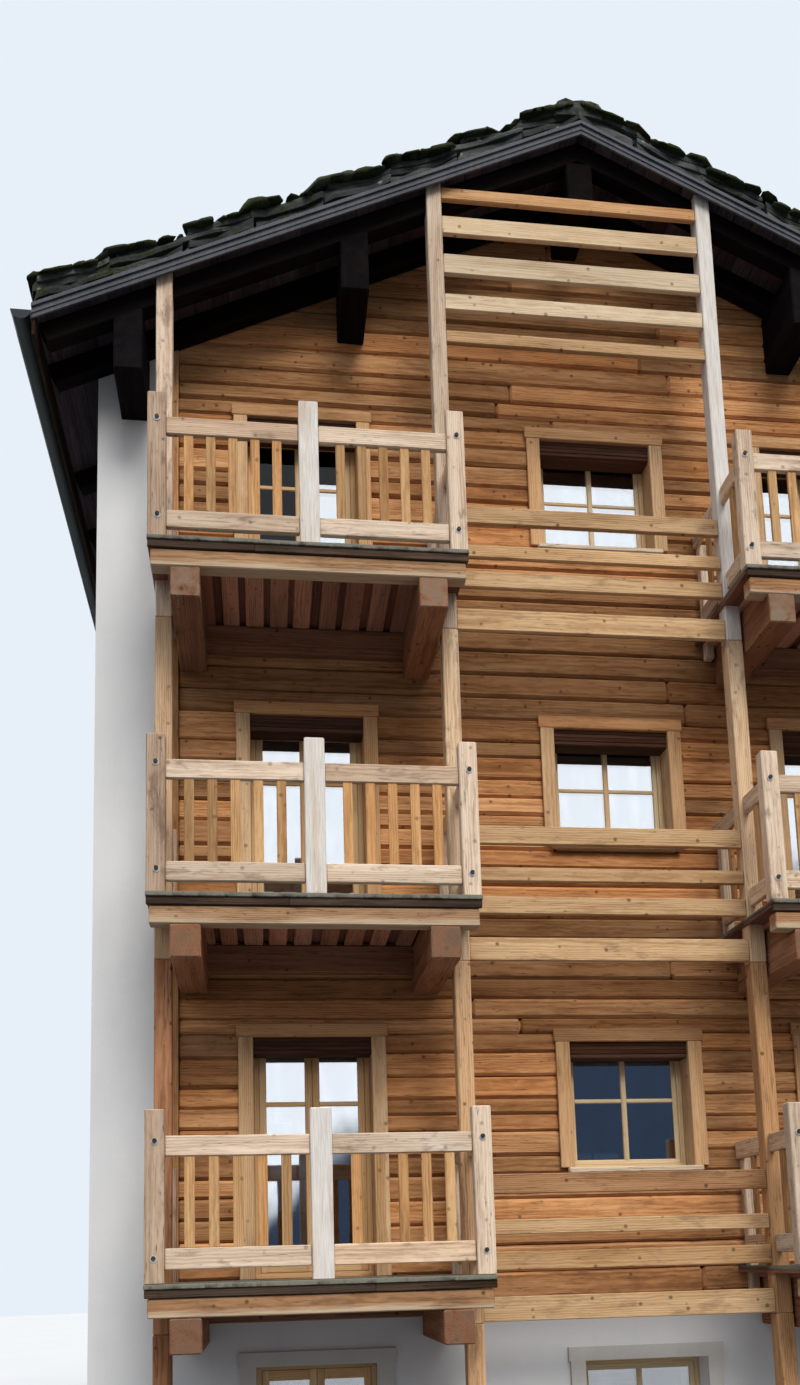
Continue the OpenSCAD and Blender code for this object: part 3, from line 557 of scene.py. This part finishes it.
def disc(piece, centre, radius, thick, sides):
    """A washer or bolt head that faces the front."""
    x, y, z = centre
    points = []
    for at, r in ((y, radius * 0.94), (y + thick * 0.2, radius), (y + thick, radius)):
        points += [(x + r * math.cos(2 * math.pi * i / sides), at, z + r * math.sin(2 * math.pi * i / sides))
                   for i in range(sides)]
    faces = [tuple(range(sides))] + skin(3, sides) + [tuple(range(3 * sides - 1, 2 * sides - 1, -1))]
    piece.add(points, faces, points, 0.5)


# Walls of squared timbers, in rows of uneven height
def row_heights(rng, z0, z1):
    count = max(1, round((z1 - z0) / rng.uniform(0.155, 0.2)))
    weights = [rng.uniform(0.78, 1.25) for _ in range(count)]
    total, z, rows = sum(weights), z0, []
    for w in weights:
        rows.append((z, z + (z1 - z0) * w / total))
        z = rows[-1][1]
    return rows


def lay_rows(piece, y0, y1, x0, x1, z0, z1, out):
    """Rows between two heights across one bay; out is the side of the weather face."""
    rng = piece.rng
    for low, high in row_heights(rng, z0, z1):
        ends = [x0, x1]
        if x1 - x0 > 5:
            ends.insert(1, rng.uniform(x0 + 2.2, x1 - 2.2))
        for left, right in zip(ends, ends[1:]):
            sink = rng.uniform(0, 0.012)
            lo = (left, y0 + (sink if out < 0 else 0), low)
            hi = (right, y1 - (sink if out > 0 else 0), high)
            timber(piece, lo, hi, 0, rng.uniform(0.017, 0.028), 0.005, 0.5, cut=inside_slope, worn=0.15)


def bays(openings):
    """The spans of wall between openings, each given by its middle and width."""
    edges = [-INNER_X]
    for middle, width in sorted(openings):
        edges += [middle - width / 2 - LINING, middle + width / 2 + LINING]
    edges.append(INNER_X)
    return list(zip(edges[0::2], edges[1::2]))


def timber_wall(name, y0, y1, out, doors, windows):
    piece = Piece(name)
    lay_rows(piece, y0, y1, -INNER_X, INNER_X, WALL_FOOT, FLOORS[0], out)
    low_bays = bays([(x, DOOR_W) for x in doors])
    high_bays = bays([(x, DOOR_W) for x in doors] + [(x, WINDOW_W) for x in windows])
    for z, above in zip(FLOORS, FLOORS[1:] + (WALL_TOP,)):
        for x0, x1 in low_bays:
            lay_rows(piece, y0, y1, x0, x1, z, z + FOOT_ROW, out)
        for x0, x1 in high_bays:
            lay_rows(piece, y0, y1, x0, x1, z + FOOT_ROW, z + HEAD_ROW, out)
        lay_rows(piece, y0, y1, -INNER_X, INNER_X, z + HEAD_ROW, above, out)
    return piece


timber_wall("front_wall_timbers", -FACE_Y, -WALL_IN, -1, DOOR_XS, (WINDOW_X,)).make(
    wall_wood, "front_timber_wall")
timber_wall("rear_wall_timbers", WALL_IN, FACE_Y, 1, (), REAR_XS).make(wall_wood, "rear_timber_wall")


def spot(x, y, z, turn=0):
    return Matrix.Translation((x, y, z)) @ Matrix.Rotation(math.radians(turn), 4, "Z")


# Window and door joinery; a spot's y runs into the wall from its face
front_windows = [spot(WINDOW_X, -FACE_Y, z) for z in STOREYS]
front_doors = [spot(x, -FACE_Y, z) for x in DOOR_XS for z in STOREYS]
rear_windows = [spot(x, FACE_Y, z, 180) for x in REAR_XS for z in STOREYS]
side_windows = [spot(s * SIDE_X, y, z - GROUND, s * 90) for s in (-1, 1) for y in SIDE_YS for z in STOREYS]


def bars(piece, place, outer_edge):
    """A call that lays one bar of a frame in its reveal."""
    def bar(x0, x1, z0, z1, axis, near, far, edge=outer_edge):
        timber(piece, (x0, REVEAL + near, z0), (x1, REVEAL + far, z1), axis, edge, place=place)
    return bar


def window_frame(piece, place):
    w, foot, top = WINDOW_W / 2, WINDOW_FOOT, WINDOW_HEAD
    frame_w, sash_w = 0.042, 0.085
    bar = bars(piece, place, 0.004)
    for outer, inner in zip(both_sides(w - frame_w, w), both_sides(w - sash_w, w - frame_w)):
        bar(*outer, foot, top, 2, 0, FRAME_D)
        bar(*inner, foot + 0.035, top - 0.05, 2, 0.012, FRAME_D - 0.006, 0.007)
    bar(-w, w, top - 0.052, top, 0, -0.001, FRAME_D)
    bar(-w, w, foot, foot + 0.037, 0, -0.001, FRAME_D)
    bar(-w + frame_w, w - frame_w, top - 0.105, top - 0.05, 0, 0.011, FRAME_D - 0.006, 0.007)
    bar(-w + frame_w, w - frame_w, foot + 0.035, foot + 0.08, 0, 0.011, FRAME_D - 0.006, 0.007)
    bar(-0.024, 0.024, foot + 0.07, top - 0.1, 2, 0.008, FRAME_D - 0.004, 0.008)
    for x0, x1 in both_sides(0.02, w - 0.08):
        bar(x0, x1, foot + 0.583, foot + 0.621, 0, 0.014, FRAME_D - 0.012, 0.008)


def door_joinery(piece, place):
    half, jamb, leaf_w = DOOR_W / 2, 0.045, 0.453
    bar = bars(piece, place, 0.005)
    for x0, x1 in both_sides(half - jamb, half):
        bar(x0, x1, 0, DOOR_H, 2, 0, FRAME_D)
    bar(-half, half, DOOR_H - jamb, DOOR_H, 0, -0.001, FRAME_D)
    bar(-half, half, 0, jamb, 0, -0.001, FRAME_D)
    for x0 in (-0.4545, 0.0015):
        x1, z0, z1 = x0 + leaf_w, 0.046, DOOR_H - 0.046
        bar(x0, x0 + 0.062, z0, z1, 2, 0.008, FRAME_D - 0.004, 0.007)
        bar(x1 - 0.062, x1, z0, z1, 2, 0.008, FRAME_D - 0.004, 0.007)
        bar(x0 + 0.056, x1 - 0.056, z0, z0 + 0.19, 0, 0.012, FRAME_D - 0.008, 0.008)
        bar(x0 + 0.056, x1 - 0.056, z1 - 0.09, z1, 0, 0.012, FRAME_D - 0.008, 0.008)
        bar(x0 + 0.056, x1 - 0.056, 1.455, 1.497, 0, 0.014, FRAME_D - 0.012, 0.008)


for side, spots in (("front", front_windows), ("rear", rear_windows), ("side", side_windows)):
    piece = Piece(side + "_window_bars")
    for place in spots:
        window_frame(piece, place)
    piece.make(window_wood, side + "_window_frames")
doors = Piece("balcony_door_joinery")
for place in front_doors:
    door_joinery(doors, place)
doors.make(door_wood, "balcony_door_frames", "balcony_door_leaves")

# Casings, linings and sills
casings, rear_boards, casing_heads, linings, heads, pelmets, sills, rear_nose = (Piece(n) for n in (
    "front_casing_boards", "rear_casing_boards", "casing_head_boards", "reveal_linings", "reveal_heads",
    "blind_pelmets", "front_sill_boards", "rear_sill_boards"))


def casing(piece, place, width, foot, top):
    w = width / 2
    for x0, x1 in both_sides(w, w + 0.125):
        timber(piece, (x0, -0.028, foot), (x1, 0, top), 2, 0.005, place=place)
    timber(casing_heads, (-w - 0.14, -0.03, top), (w + 0.14, 0, top + 0.115), 0, 0.006, place=place)


def lining(place, width, foot, top):
    """The boards in a reveal and the shutter box under its head; the box's near-black wood is painted shade
    under the head.
    """
    w, slat = width / 2, PELMET / 4
    for x0, x1 in both_sides(w, w + LINING):
        timber(linings, (x0, 0.001, foot), (x1, WALL_D, top), 2, 0.002, place=place)
    timber(heads, (-w - LINING, 0.001, top), (w + LINING, WALL_D, HEAD_ROW), 0, 0.002, place=place)
    for i in range(4):
        timber(pelmets, (-w, 0.006 + 0.004 * (i % 2), top - (i + 1) * slat), (w, 0.03, top - i * slat), 0,
               0.006, place=place)
    timber(pelmets, (-w, 0.028, top - PELMET), (w, REVEAL, top - PELMET + 0.014), 0, 0.003, place=place)


def sill(piece, place, wall):
    w, top = WINDOW_W / 2, WINDOW_FOOT
    timber(piece, (-w - 0.065, -0.068, top - 0.05), (w + 0.065, 0.0, top), 0, 0.009, 0.001, place=place)
    timber(piece, (-w, 0.0, top - 0.05), (w, wall, top), 0, 0.003, place=place)


for piece, ledge, spots in ((casings, sills, front_windows), (rear_boards, rear_nose, rear_windows)):
    for place in spots:
        sill(ledge, place, WALL_D)
        if place.translation.z > 1:
            casing(piece, place, WINDOW_W, WINDOW_FOOT, WINDOW_HEAD)
            lining(place, WINDOW_W, FOOT_ROW, WINDOW_HEAD)
for place in front_doors:
    if place.translation.z > 1:
        casing(casings, place, DOOR_W, 0, DOOR_H)
        lining(place, DOOR_W, 0, DOOR_H)
casings.make(casing_wood, "front_casings")
rear_boards.make(casing_wood, "rear_casings")
casing_heads.make(head_wood)
linings.make(casing_wood)
heads.make(under_wood)
pelmets.make(pelmet_painted_shade_wood)
sills.make(sill_wood, "front_sills")
rear_nose.make(sill_wood, "rear_sills")
corners = Piece("corner_boards")
for x0, x1 in both_sides(3.695, 3.765):
    for z0, z1 in zip(CORNER_JOINTS, CORNER_JOINTS[1:]):
        timber(corners, (x0, -FACE_Y - 0.022, z0), (x1, -FACE_Y + 0.004, z1), 2, 0.004, 0.001, 0.5)
corners.make(wall_wood)
side_ledges = Piece("side_sill_stones")
for place in side_windows:
    sill(side_ledges, place, SIDE_WALL)
side_ledges.make(sill_stone, "side_sills")


# Roof timbers and boarding
def slope_place(side):
    """Local x runs down the slope from the ridge, y along it, z out of it."""
    m = Matrix.Translation((0, 0, RIDGE_Z)) @ Matrix.Rotation(THETA, 4, "Y")
    return m if side > 0 else Matrix.Rotation(math.pi, 4, "Z") @ m


def plumb(end):
    """Cuts what lies on a slope upright at its lower end."""
    def cut(points):
        side = np.where(points[:, 0] < 0, -1, 1)
        reach = np.clip(np.abs(points[:, 0]), 0.0, end)
        shift = reach - np.abs(points[:, 0])
        points[:, 0] = side * reach
        points[:, 2] -= shift * SLOPE
        return points
    return cut


rafters = Piece("roof_rafters")
for lo, hi in solids("rafters"):
    side = 1 if hi[0] > 1 else -1
    y0, y1 = (lo[1], hi[1]) if side > 0 else (-hi[1], -lo[1])
    timber(rafters, (0, y0, -RAFTER_D * COS), (RAFTER_X / COS, y1, 0), 0, 0.007, 0.002,
           place=slope_place(side), cut=plumb(RAFTER_X))
rafters.make(roof_stain_and_shade_wood, "rafters")

boards = Piece("roof_boarding")
for side in (-1, 1):
    down_slope, end = 0.0, EDGE_X / COS
    while down_slope < end - 0.02:
        width = min(boards.rng.uniform(0.15, 0.21), end - down_slope)
        marks = [-VERGE_Y + 0.004, boards.rng.uniform(-1.5, 1.5), VERGE_Y - 0.004]
        for y0, y1 in zip(marks, marks[1:]):
            timber(boards, (down_slope, y0, 0.0), (down_slope + width, y1, BOARDING * COS), 1,
                   0.006, 0.0015, place=slope_place(side), cut=plumb(EDGE_X))
        down_slope += width
boards.make(soffit_wood, "left_boarding", "right_boarding")

PURLINS = ("ridge_purlin", "middle_purlins", "wall_plates")
beams = Piece("roof_purlins")
for node in PURLINS:
    for lo, hi in solids(node):
        timber(beams, lo, hi, 1, 0.012, 0.004, cut=below_boards(RAFTER_D))
beams.make(roof_stain_and_shade_wood, *PURLINS)

fascias = Piece("eave_fascia_boards")
for lo, hi in solids("eave_fascias"):
    marks = [lo[1], -1.7, 1.9, hi[1]]
    for y0, y1 in zip(marks, marks[1:]):
        timber(fascias, (lo[0], y0, lo[2]), (hi[0], y1, hi[2]), 1, 0.004, 0.0015)
fascias.make(fascia_wood, "eave_fascias")

# Stone slabs: courses down each slope, each a stack of split layers with moss on it
slabs, moss = Piece("roof_slabs"), Piece("roof_moss")
course_w = COURSE_EDGE / COURSES
LAYERS = (0.0, 0.38, 0.60, 0.80, 1.0)
NOSES = ((-0.03, 0.0), (-0.03, 0.0), (-0.01, 0.05), (-0.07, 0.02))


def board_top(x):
    return RIDGE_Z + BOARDING - SLOPE * x


def course_thick(x, k):
    """A course's depth at a distance from the ridge."""
    return COURSE_LOW + (COURSE_HIGH - COURSE_LOW) * min(1.0, max(0.0, x / course_w - k))


def slab(side, k, layer, y0, y1, upper, lower):
    """One slab of a course, its free edges chipped and worn round."""
    rng = slabs.rng
    top = layer == len(LAYERS) - 2
    low = LAYERS[layer] - 0.04 * (layer > 0)
    high = LAYERS[layer + 1] + rng.uniform(-0.07, 0.0 if top else 0.03)
    n = max(2, round((y1 - y0) / 0.12))
    rag0, rag1 = (0.05 if abs(y) > VERGE_Y - 0.06 else 0.01 for y in (y0, y1))
    side_x = [upper + (lower - upper) * i / 4 for i in (1, 2, 3)]
    outline = [(upper, y0)] + [(x, y0 + rng.uniform(0, rag0)) for x in side_x]
    for i in range(n + 1):
        chip = rng.uniform(0, 0.035) + (rng.uniform(0.02, 0.08) if i in (0, n) else 0)
        outline.append((lower - chip, y0 + (y1 - y0) * (0.03 + 0.94 * i / n)))
    outline += [(x, y1 - rng.uniform(0, rag1)) for x in reversed(side_x)] + [(upper, y1)]
    centre = (upper + lower) / 2, (y0 + y1) / 2
    rings = [(0.005, 0.0), (0.0, 0.45), (0.006, 0.8), (0.024, 0.97)]
    if top:
        rings.append((0.06, 1.0 + rng.uniform(0, 0.05)))
    m = len(outline)
    points, worn = [], []
    for inset, up in rings:
        for i, (x, y) in enumerate(outline):
            dx, dy = centre[0] - x, centre[1] - y
            d = math.hypot(dx, dy)
            back = inset + (rng.uniform(-0.004, 0.006) if up else 0)
            x, y = x + dx / d * back, y + dy / d * back
            lift = rng.uniform(-0.004, 0.004) if up else 0
            points.append((x * side, y, board_top(x) + course_thick(x, k) * (low + (high - low) * up) + lift))
            worn.append(0.8 if top and 0 < up < 0.9 and 3 < i < m - 4 else 0.0)
    n = len(rings)
    faces = skin(n, m) + [tuple(range((n - 1) * m, n * m)), tuple(range(m - 1, -1, -1))]
    slabs.add(points, turned(faces, side), points, None, np.array(worn))


def cushion(side, x, y, k, reach, height):
    """A low dome of moss on course k, hanging over an edge where it lies at one."""
    rng = moss.rng
    n, turn = 8, rng.uniform(0, math.tau)
    uneven = [rng.uniform(0.6, 1.25) for _ in range(n)]
    nose = (k + 1) * course_w - 0.03
    points = []
    for r, up in ((1.0, -0.8), (0.97, 0.3), (0.72, 0.78), (0.36, 0.97), (0.0, 1.05)):
        for i in range(n if r else 1):
            q = reach * r * uneven[i] * rng.uniform(0.93, 1.07)
            px = min(max(0.0, x + q * math.cos(turn + math.tau * i / n)), COURSE_EDGE)
            py = min(max(y + q * math.sin(turn + math.tau * i / n), -VERGE_Y - 0.02), VERGE_Y + 0.02)
            ground = board_top(px) + course_thick(min(px, nose), k) - 0.8 * max(0.0, px - nose)
            ground = max(ground, board_top(px) + COURSE_LOW) - 0.9 * max(0.0, abs(py) - VERGE_Y + 0.03)
            points.append((side * px, py, min(ground + height * up * rng.uniform(0.8, 1.15), STONE_TOP)))
    faces = skin(4, n) + [(3 * n + i, 3 * n + (i + 1) % n, 4 * n) for i in range(n)]
    moss.add(points, turned(faces + [tuple(range(n - 1, -1, -1))], side), points)


for side in (-1, 1):
    for k in range(COURSES):
        for layer in range(len(LAYERS) - 1):
            y = -VERGE_Y + slabs.rng.uniform(0, 0.05)
            end = VERGE_Y - slabs.rng.uniform(0, 0.05)
            while y < end - 0.01:
                reach = slabs.rng.uniform(0.32, 1.0)
                y1 = end if end - y - reach < 0.3 else y + reach
                lower = min((k + 1) * course_w + slabs.rng.uniform(*NOSES[layer]), COURSE_EDGE)
                slab(side, k, layer, y + 0.002, y1 - 0.002, max(0.0, k * course_w - 0.07), lower)
                y = y1
        rng = moss.rng
        for end in (-1, 1):
            x = k * course_w + 0.08
            while x < (k + 1) * course_w + 0.01:
                cushion(side, x, end * (VERGE_Y - rng.uniform(0.04, 0.11)), k, rng.uniform(0.07, 0.16),
                        rng.uniform(0.012, 0.036))
                x += rng.uniform(0.06, 0.2)
        y = -VERGE_Y + 0.15
        while y < VERGE_Y - 0.1:
            cushion(side, (k + 1) * course_w - rng.uniform(0.02, 0.12), y, k, rng.uniform(0.04, 0.12),
                    rng.uniform(0.012, 0.035))
            y += rng.uniform(0.12, 0.6)
        for _ in range(7):
            x, y = (k + rng.uniform(0.1, 0.9)) * course_w, rng.uniform(-VERGE_Y + 0.4, VERGE_Y - 0.4)
            for _ in range(rng.randint(1, 6)):
                cushion(side, min(max(x + rng.gauss(0, 0.09), (k + 0.1) * course_w), (k + 0.92) * course_w),
                        y + rng.gauss(0, 0.13), k, rng.uniform(0.03, 0.12), rng.uniform(0.006, 0.02))
    core = [(0.0, 0.0), (COURSE_EDGE - 0.08, 0.0), (COURSE_EDGE - 0.08, 0.15), (0.0, 0.15)]
    ring = [(side * x, y, board_top(x) + h) for y in (-VERGE_Y + 0.08, VERGE_Y - 0.08) for x, h in core]
    faces = [(0, 1, 2, 3), (7, 6, 5, 4), (1, 0, 4, 5), (2, 1, 5, 6), (3, 2, 6, 7), (0, 3, 7, 4)]
    slabs.add(ring, turned(faces, side), ring, 0.1)
slabs.make(roof_stone, "left_stone_courses", "right_stone_courses")
moss.make(moss_green, smooth=True)

caps = Piece("ridge_cap_stones")
for lo, hi in solids("ridge_stones"):
    rng = caps.rng
    x, foot = hi[0], lo[2]
    peak = hi[2] - rng.uniform(0.002, 0.02) - foot
    profile = [(-0.98, 0.0), (-0.4, 0.12), (0.4, 0.12), (0.98, 0.0), (1.0, 0.35), (0.93, 0.62), (0.78, 0.84),
               (0.5, 0.97), (0.18, 1.0), (-0.2, 1.0), (-0.52, 0.96), (-0.8, 0.82), (-0.94, 0.6), (-1.0, 0.35)]
    stations = [lo[1] + d for d in (0.004, 0.03, 0.14, 0.27, 0.4, 0.53, 0.66)]
    stations += [hi[1] - 0.03, hi[1] - 0.004]
    points = []
    for j, y in enumerate(stations):
        shrink = 0.93 if j in (0, len(stations) - 1) else 1.0
        for i, (px, pz) in enumerate(profile):
            k = shrink - rng.uniform(0, 0.12)
            drop = rng.uniform(0, 0.03 if abs(px) > 0.1 else 0.012) if i > 3 else 0
            inward = rng.uniform(0, 0.02) if j == 0 else 0
            points.append((px * x * k, y + inward, foot + peak * pz * shrink - drop))
    m = len(profile)
    faces = [(a, d, c, b) for a, b, c, d in skin(len(stations), m)]
    faces += [tuple(range(m)), tuple(range(len(points) - 1, len(points) - m - 1, -1))]
    caps.add(points, faces, points)
caps.make(ridge_stone, "ridge_stones")

# The post frame with its slats
posts, low_posts, left_foot, middle_foot, right_feet = (Piece(n) for n in (
    "post_lengths", "lower_post_lengths", "corner_post_foot", "middle_post_foot", "right_post_feet"))
for lo, hi in solids("tall_posts"):
    marks = (0.0,) + POST_JOINTS + (hi[2],)
    foot = left_foot if lo[0] < -3 else middle_foot if lo[0] < 0 else right_feet
    for i, (z0, z1) in enumerate(zip(marks, marks[1:])):
        inset = 0.0015 * (i % 2)
        pale = 0.95 if i == 3 and 0 < lo[0] < 2 else posts.rng.uniform(0.1, 0.4)
        piece = posts if i == 3 else foot if i < 2 else low_posts
        timber(piece, (lo[0] + inset, lo[1] + inset, z0), (hi[0] - inset, hi[1] - inset, z1), 2, 0.008,
               0.003, 0.6, cut=below_boards(0.001), tone=posts.rng.uniform(0, 0.8), worn=pale)
posts.make(pale_wood, "tall_posts")
low_posts.make(post_wood)
left_foot.make(foot_wood)
middle_foot.make(warm_post_wood)
right_feet.make(brown_post_wood)

slats, brown_slat, gable_slats, top_slat = (Piece(n) for n in (
    "slat_boards", "lower_slat_board", "gable_slat_boards", "top_slat_board"))
for lo, hi in solids("screen_slats"):
    z = lo[2]
    # The first floor's top slat takes the browner beam wood, partly its own colour and partly painted shade
    piece = top_slat if z > 12.4 else gable_slats if z > 11 else brown_slat if 3.4 < z < 4 else slats
    timber(piece, lo, hi, 0, 0.006, 0.003, 0.5)
slats.make(slat_wood, "screen_slats")
brown_slat.make(beam_wood)
gable_slats.make(gable_slat_wood)
top_slat.make(ridge_slat_wood)

# Balconies
planks, edges, covers, under_planks = (Piece(n) for n in (
    "deck_planks", "deck_edge_boards", "deck_cover_planks", "deck_under_planks"))
for lo, hi in solids("balcony_decks"):
    x, rng = lo[0], planks.rng
    y0, z0, y1, z1 = lo[1], lo[2] + 0.001, hi[1], hi[2]
    middle = rng.uniform(0.4, 0.6) * (lo[0] + hi[0])
    for x0, x1 in ((lo[0] + 0.004, middle), (middle, hi[0] - 0.004)):
        timber(edges, (x0, y0 + 0.014, z0), (x1, y0 + 0.05, z1 - 0.034), 0, 0.005, 0.003, 0.4)
    while x < hi[0] - 0.01:
        width = rng.uniform(0.19, 0.23)
        x1 = hi[0] if hi[0] - x - width < 0.12 else x + width
        timber(planks, (x, y0 + rng.uniform(0, 0.006), z1 - PLANK_D), (x1, y1, z1 - rng.uniform(0, 0.002)),
               1, 0.003, worn=lambda p, z=z1: np.where(p[:, 2] > z - 0.02, 0.95, 0.7))
        # Cover boards over the gaps between the under planks; their darker wood is painted shade
        timber(covers, (x + 0.001, y0 + 0.052, z1 - 0.06), (x1 - 0.001, y1, z1 - PLANK_D), 1, 0.002)
        if x1 < hi[0]:
            half = rng.uniform(0.068, 0.08)
            timber(under_planks, (x1 - half, y0 + 0.052, z0), (x1 + half, y1, z1 - 0.06), 1, 0.006)
        x = x1
planks.make(deck_wood, "balcony_decks")
edges.make(edge_wood)
covers.make(cover_painted_shade_wood)
under_planks.make(under_wood)

beam_piece = Piece("balcony_front_beams")
for lo, hi in solids("balcony_beams"):
    timber(beam_piece, lo, hi, 0, 0.008, 0.003, 0.5,
           worn=lambda p, z=lo[2]: np.where(p[:, 2] < z + 0.03, 0.95, -0.1))
beam_piece.make(beam_wood, "balcony_beams")

corbels, low_corbels = Piece("corbel_timbers"), Piece("lower_corbel_timbers")
for lo, hi in solids("balcony_corbels"):
    piece = corbels if lo[2] > 7 else low_corbels
    timber(piece, lo, (hi[0], hi[1], lo[2] + 0.257), 1, 0.009, 0.003, 0.4,
           worn=lambda p, y=lo[1]: np.where(p[:, 1] < y + 0.004, 0.72, 0.1))
    timber(piece, (lo[0] + 0.004, lo[1] + 0.131, lo[2] + 0.25), (hi[0] - 0.004, hi[1], hi[2]), 1, 0.006)
for lo, hi in solids("balcony_ledgers"):
    timber(corbels, lo, hi, 0, 0.008, 0.003, tone=0.2)
corbels.make(corbel_wood, "balcony_corbels", "balcony_ledgers")
low_corbels.make(low_corbel_painted_shade_wood)

rail_posts, left_posts, bolts, washers = (Piece(n) for n in (
    "railing_post_timbers", "left_railing_posts", "railing_bolts", "railing_washers"))
for lo, hi in solids("railing_posts"):
    wide = hi[0] - lo[0]
    pale = 0.85 if wide > 0.155 else rail_posts.rng.uniform(0.1, 0.4)
    timber(left_posts if lo[0] < -3.6 else rail_posts, lo, hi, 2, 0.007, 0.003, 0.3,
           tone=rail_posts.rng.uniform(0, 0.5), worn=pale)
    if 0.12 < wide < 0.155:
        for up in (1.03, 0.185):
            x, z = (lo[0] + hi[0]) / 2 + bolts.rng.uniform(-0.01, 0.01), lo[2] + up
            disc(washers, (x, lo[1] - 0.003, z - 0.008), 0.026, 0.006, 16)
            disc(bolts, (x, lo[1] - 0.015, z), 0.018, 0.014, 6)
rail_posts.make(pale_wood, "railing_posts")
left_posts.make(stained_wood)
bolts.make(iron)
washers.make(zinc)

rails, balusters = Piece("railing_rails"), Piece("railing_balusters")


def railing(lo, hi, axis, span_end):
    """Two rails with flat balusters between; span_end is where the balusters' run ends."""
    z = lo[2] - 0.1
    foot, head, top = z + 0.255, z + 0.915, z + 1.07
    half_w, spacing = 0.0375, 0.173
    thick = 1 - axis

    def board(piece, a0, a1, t0, t1, z0, z1, along, edge, wobble=0.0):
        p, q = [0, 0, z0], [0, 0, z1]
        p[axis], q[axis], p[thick], q[thick] = a0, a1, t0, t1
        timber(piece, p, q, along, edge, wobble, 0.4, worn=0.3)

    t0, t1 = lo[thick], hi[thick]
    board(rails, lo[axis], span_end, t0, t1, z + 0.1, foot, axis, 0.007, 0.003)
    board(rails, lo[axis], hi[axis], t0, t1, head, top, axis, 0.007, 0.003)
    run = span_end - lo[axis]
    count = max(1, round(run / spacing) - 1)
    for i in range(count):
        at = lo[axis] + run * (i + 1) / (count + 1)
        board(balusters, at - half_w, at + half_w, t0 + 0.011, t1 - 0.011, foot - 0.002, head + 0.002, 2,
              0.004)


for lo, hi in solids("front_railing_panels"):
    railing(lo, hi, 0, hi[0])
for lo, hi in solids("side_railing_panels"):
    railing(lo, hi, 1, hi[1] - 0.09 if hi[1] > -4.6 else hi[1])
rails.make(pale_wood, "front_railing_panels", "side_railing_panels")
balusters.make(baluster_wood)

# Materials of the nodes whose shape stays
for shade, names in ((white_plaster, ("left_wall", "right_wall", "front_ground_wall", "rear_ground_wall")),
                     (pale_render, ("ground_casings",)),
                     (concrete, ("ground_slab",)),
                     (floor_wood, ("first_floor", "second_floor", "third_floor")),
                     (strip_metal, ("verge_strips",)),
                     (gutter_metal, ("gutters",)),
                     (glass, ("front_glass", "rear_glass", "side_glass"))):
    for name in names:
        mesh = nodes[name].data
        mesh.materials.clear()
        mesh.materials.append(shade.m)

# Plain pale floor and soft light
FLOOR_R, FLOOR_SIDES = 70, 96
floor_mesh = bpy.data.meshes.new("stage_floor")
turns = [2 * math.pi * i / FLOOR_SIDES for i in range(FLOOR_SIDES)]
ring = [(FLOOR_R * math.cos(t), FLOOR_R * math.sin(t), -0.002) for t in turns]
floor_mesh.from_pydata(ring, [], [tuple(range(FLOOR_SIDES))])
stage_floor = placed("stage_floor", floor_mesh)
ground = Shade("stage_floor", "concrete", rough=0.9, specular=0.1)
soft = ground.noise(ground.place(), (0.4, 0.4, 0.4), 2)
ground.done(ground.mix(soft, (0.43, 0.44, 0.45), (0.46, 0.47, 0.48)))
floor_mesh.materials.append(ground.m)
stage_floor.visible_diffuse = False

SUN_HEIGHT, SUN_TURN = 45, 14
sun_data = bpy.data.lights.new("soft_sun", "SUN")
sun_data.energy = 2.4
sun_data.angle = math.radians(28)
sun_data.color = (1.0, 0.96, 0.9)
sun = placed("soft_sun", sun_data)
sun.visible_glossy = False
sun.rotation_euler = (math.radians(90 - SUN_HEIGHT), 0, math.radians(SUN_TURN))

# What is seen is plain; what lights the house is a sky brighter overhead; what
# its panes mirror is a bright sky over a ragged dark line
world = bpy.data.worlds.new("studio")
bpy.context.scene.world = world
world.use_nodes = True
sky = Nodes(world.node_tree)
sky.tree.nodes.clear()
ray = sky.node("TexCoord").outputs["Generated"]
at = sky.node("SeparateXYZ", {0: ray}).outputs
ragged = sky.node("TexNoise", {"Vector": ray, "Scale": 22}).outputs["Fac"]
aside = sky.math("MINIMUM", sky.math("ABSOLUTE", at["X"]), 0.35)
line = sky.add(sky.times(aside, 0.75), sky.times(ragged, 0.07))
over = sky.times(sky.minus(at["Z"], sky.add(line, -0.01)), 25)
clear = sky.node("Clamp", {"Value": over}).outputs[0]


def glow(color):
    return sky.node("Background", {"Color": color, "Strength": 1.0}).outputs[0]


seen = glow((0.80, 0.87, 0.94))
all_round = glow(sky.mix(sky.span(at["Z"], 0.1, 0.85), (0.20, 0.208, 0.22), (1.87, 1.91, 1.98)))
mirrored = glow(sky.mix(clear, (0.065, 0.10, 0.17), (2.15, 2.25, 2.35)))
path = sky.node("LightPath").outputs
unseen = sky.node("MixShader", {0: path["Is Glossy Ray"], 1: all_round, 2: mirrored}).outputs[0]
shown = sky.node("MixShader", {0: path["Is Camera Ray"], 1: unseen, 2: seen}).outputs[0]
sky.node("OutputWorld", {"Surface": shown})

bpy.context.view_layer.update()
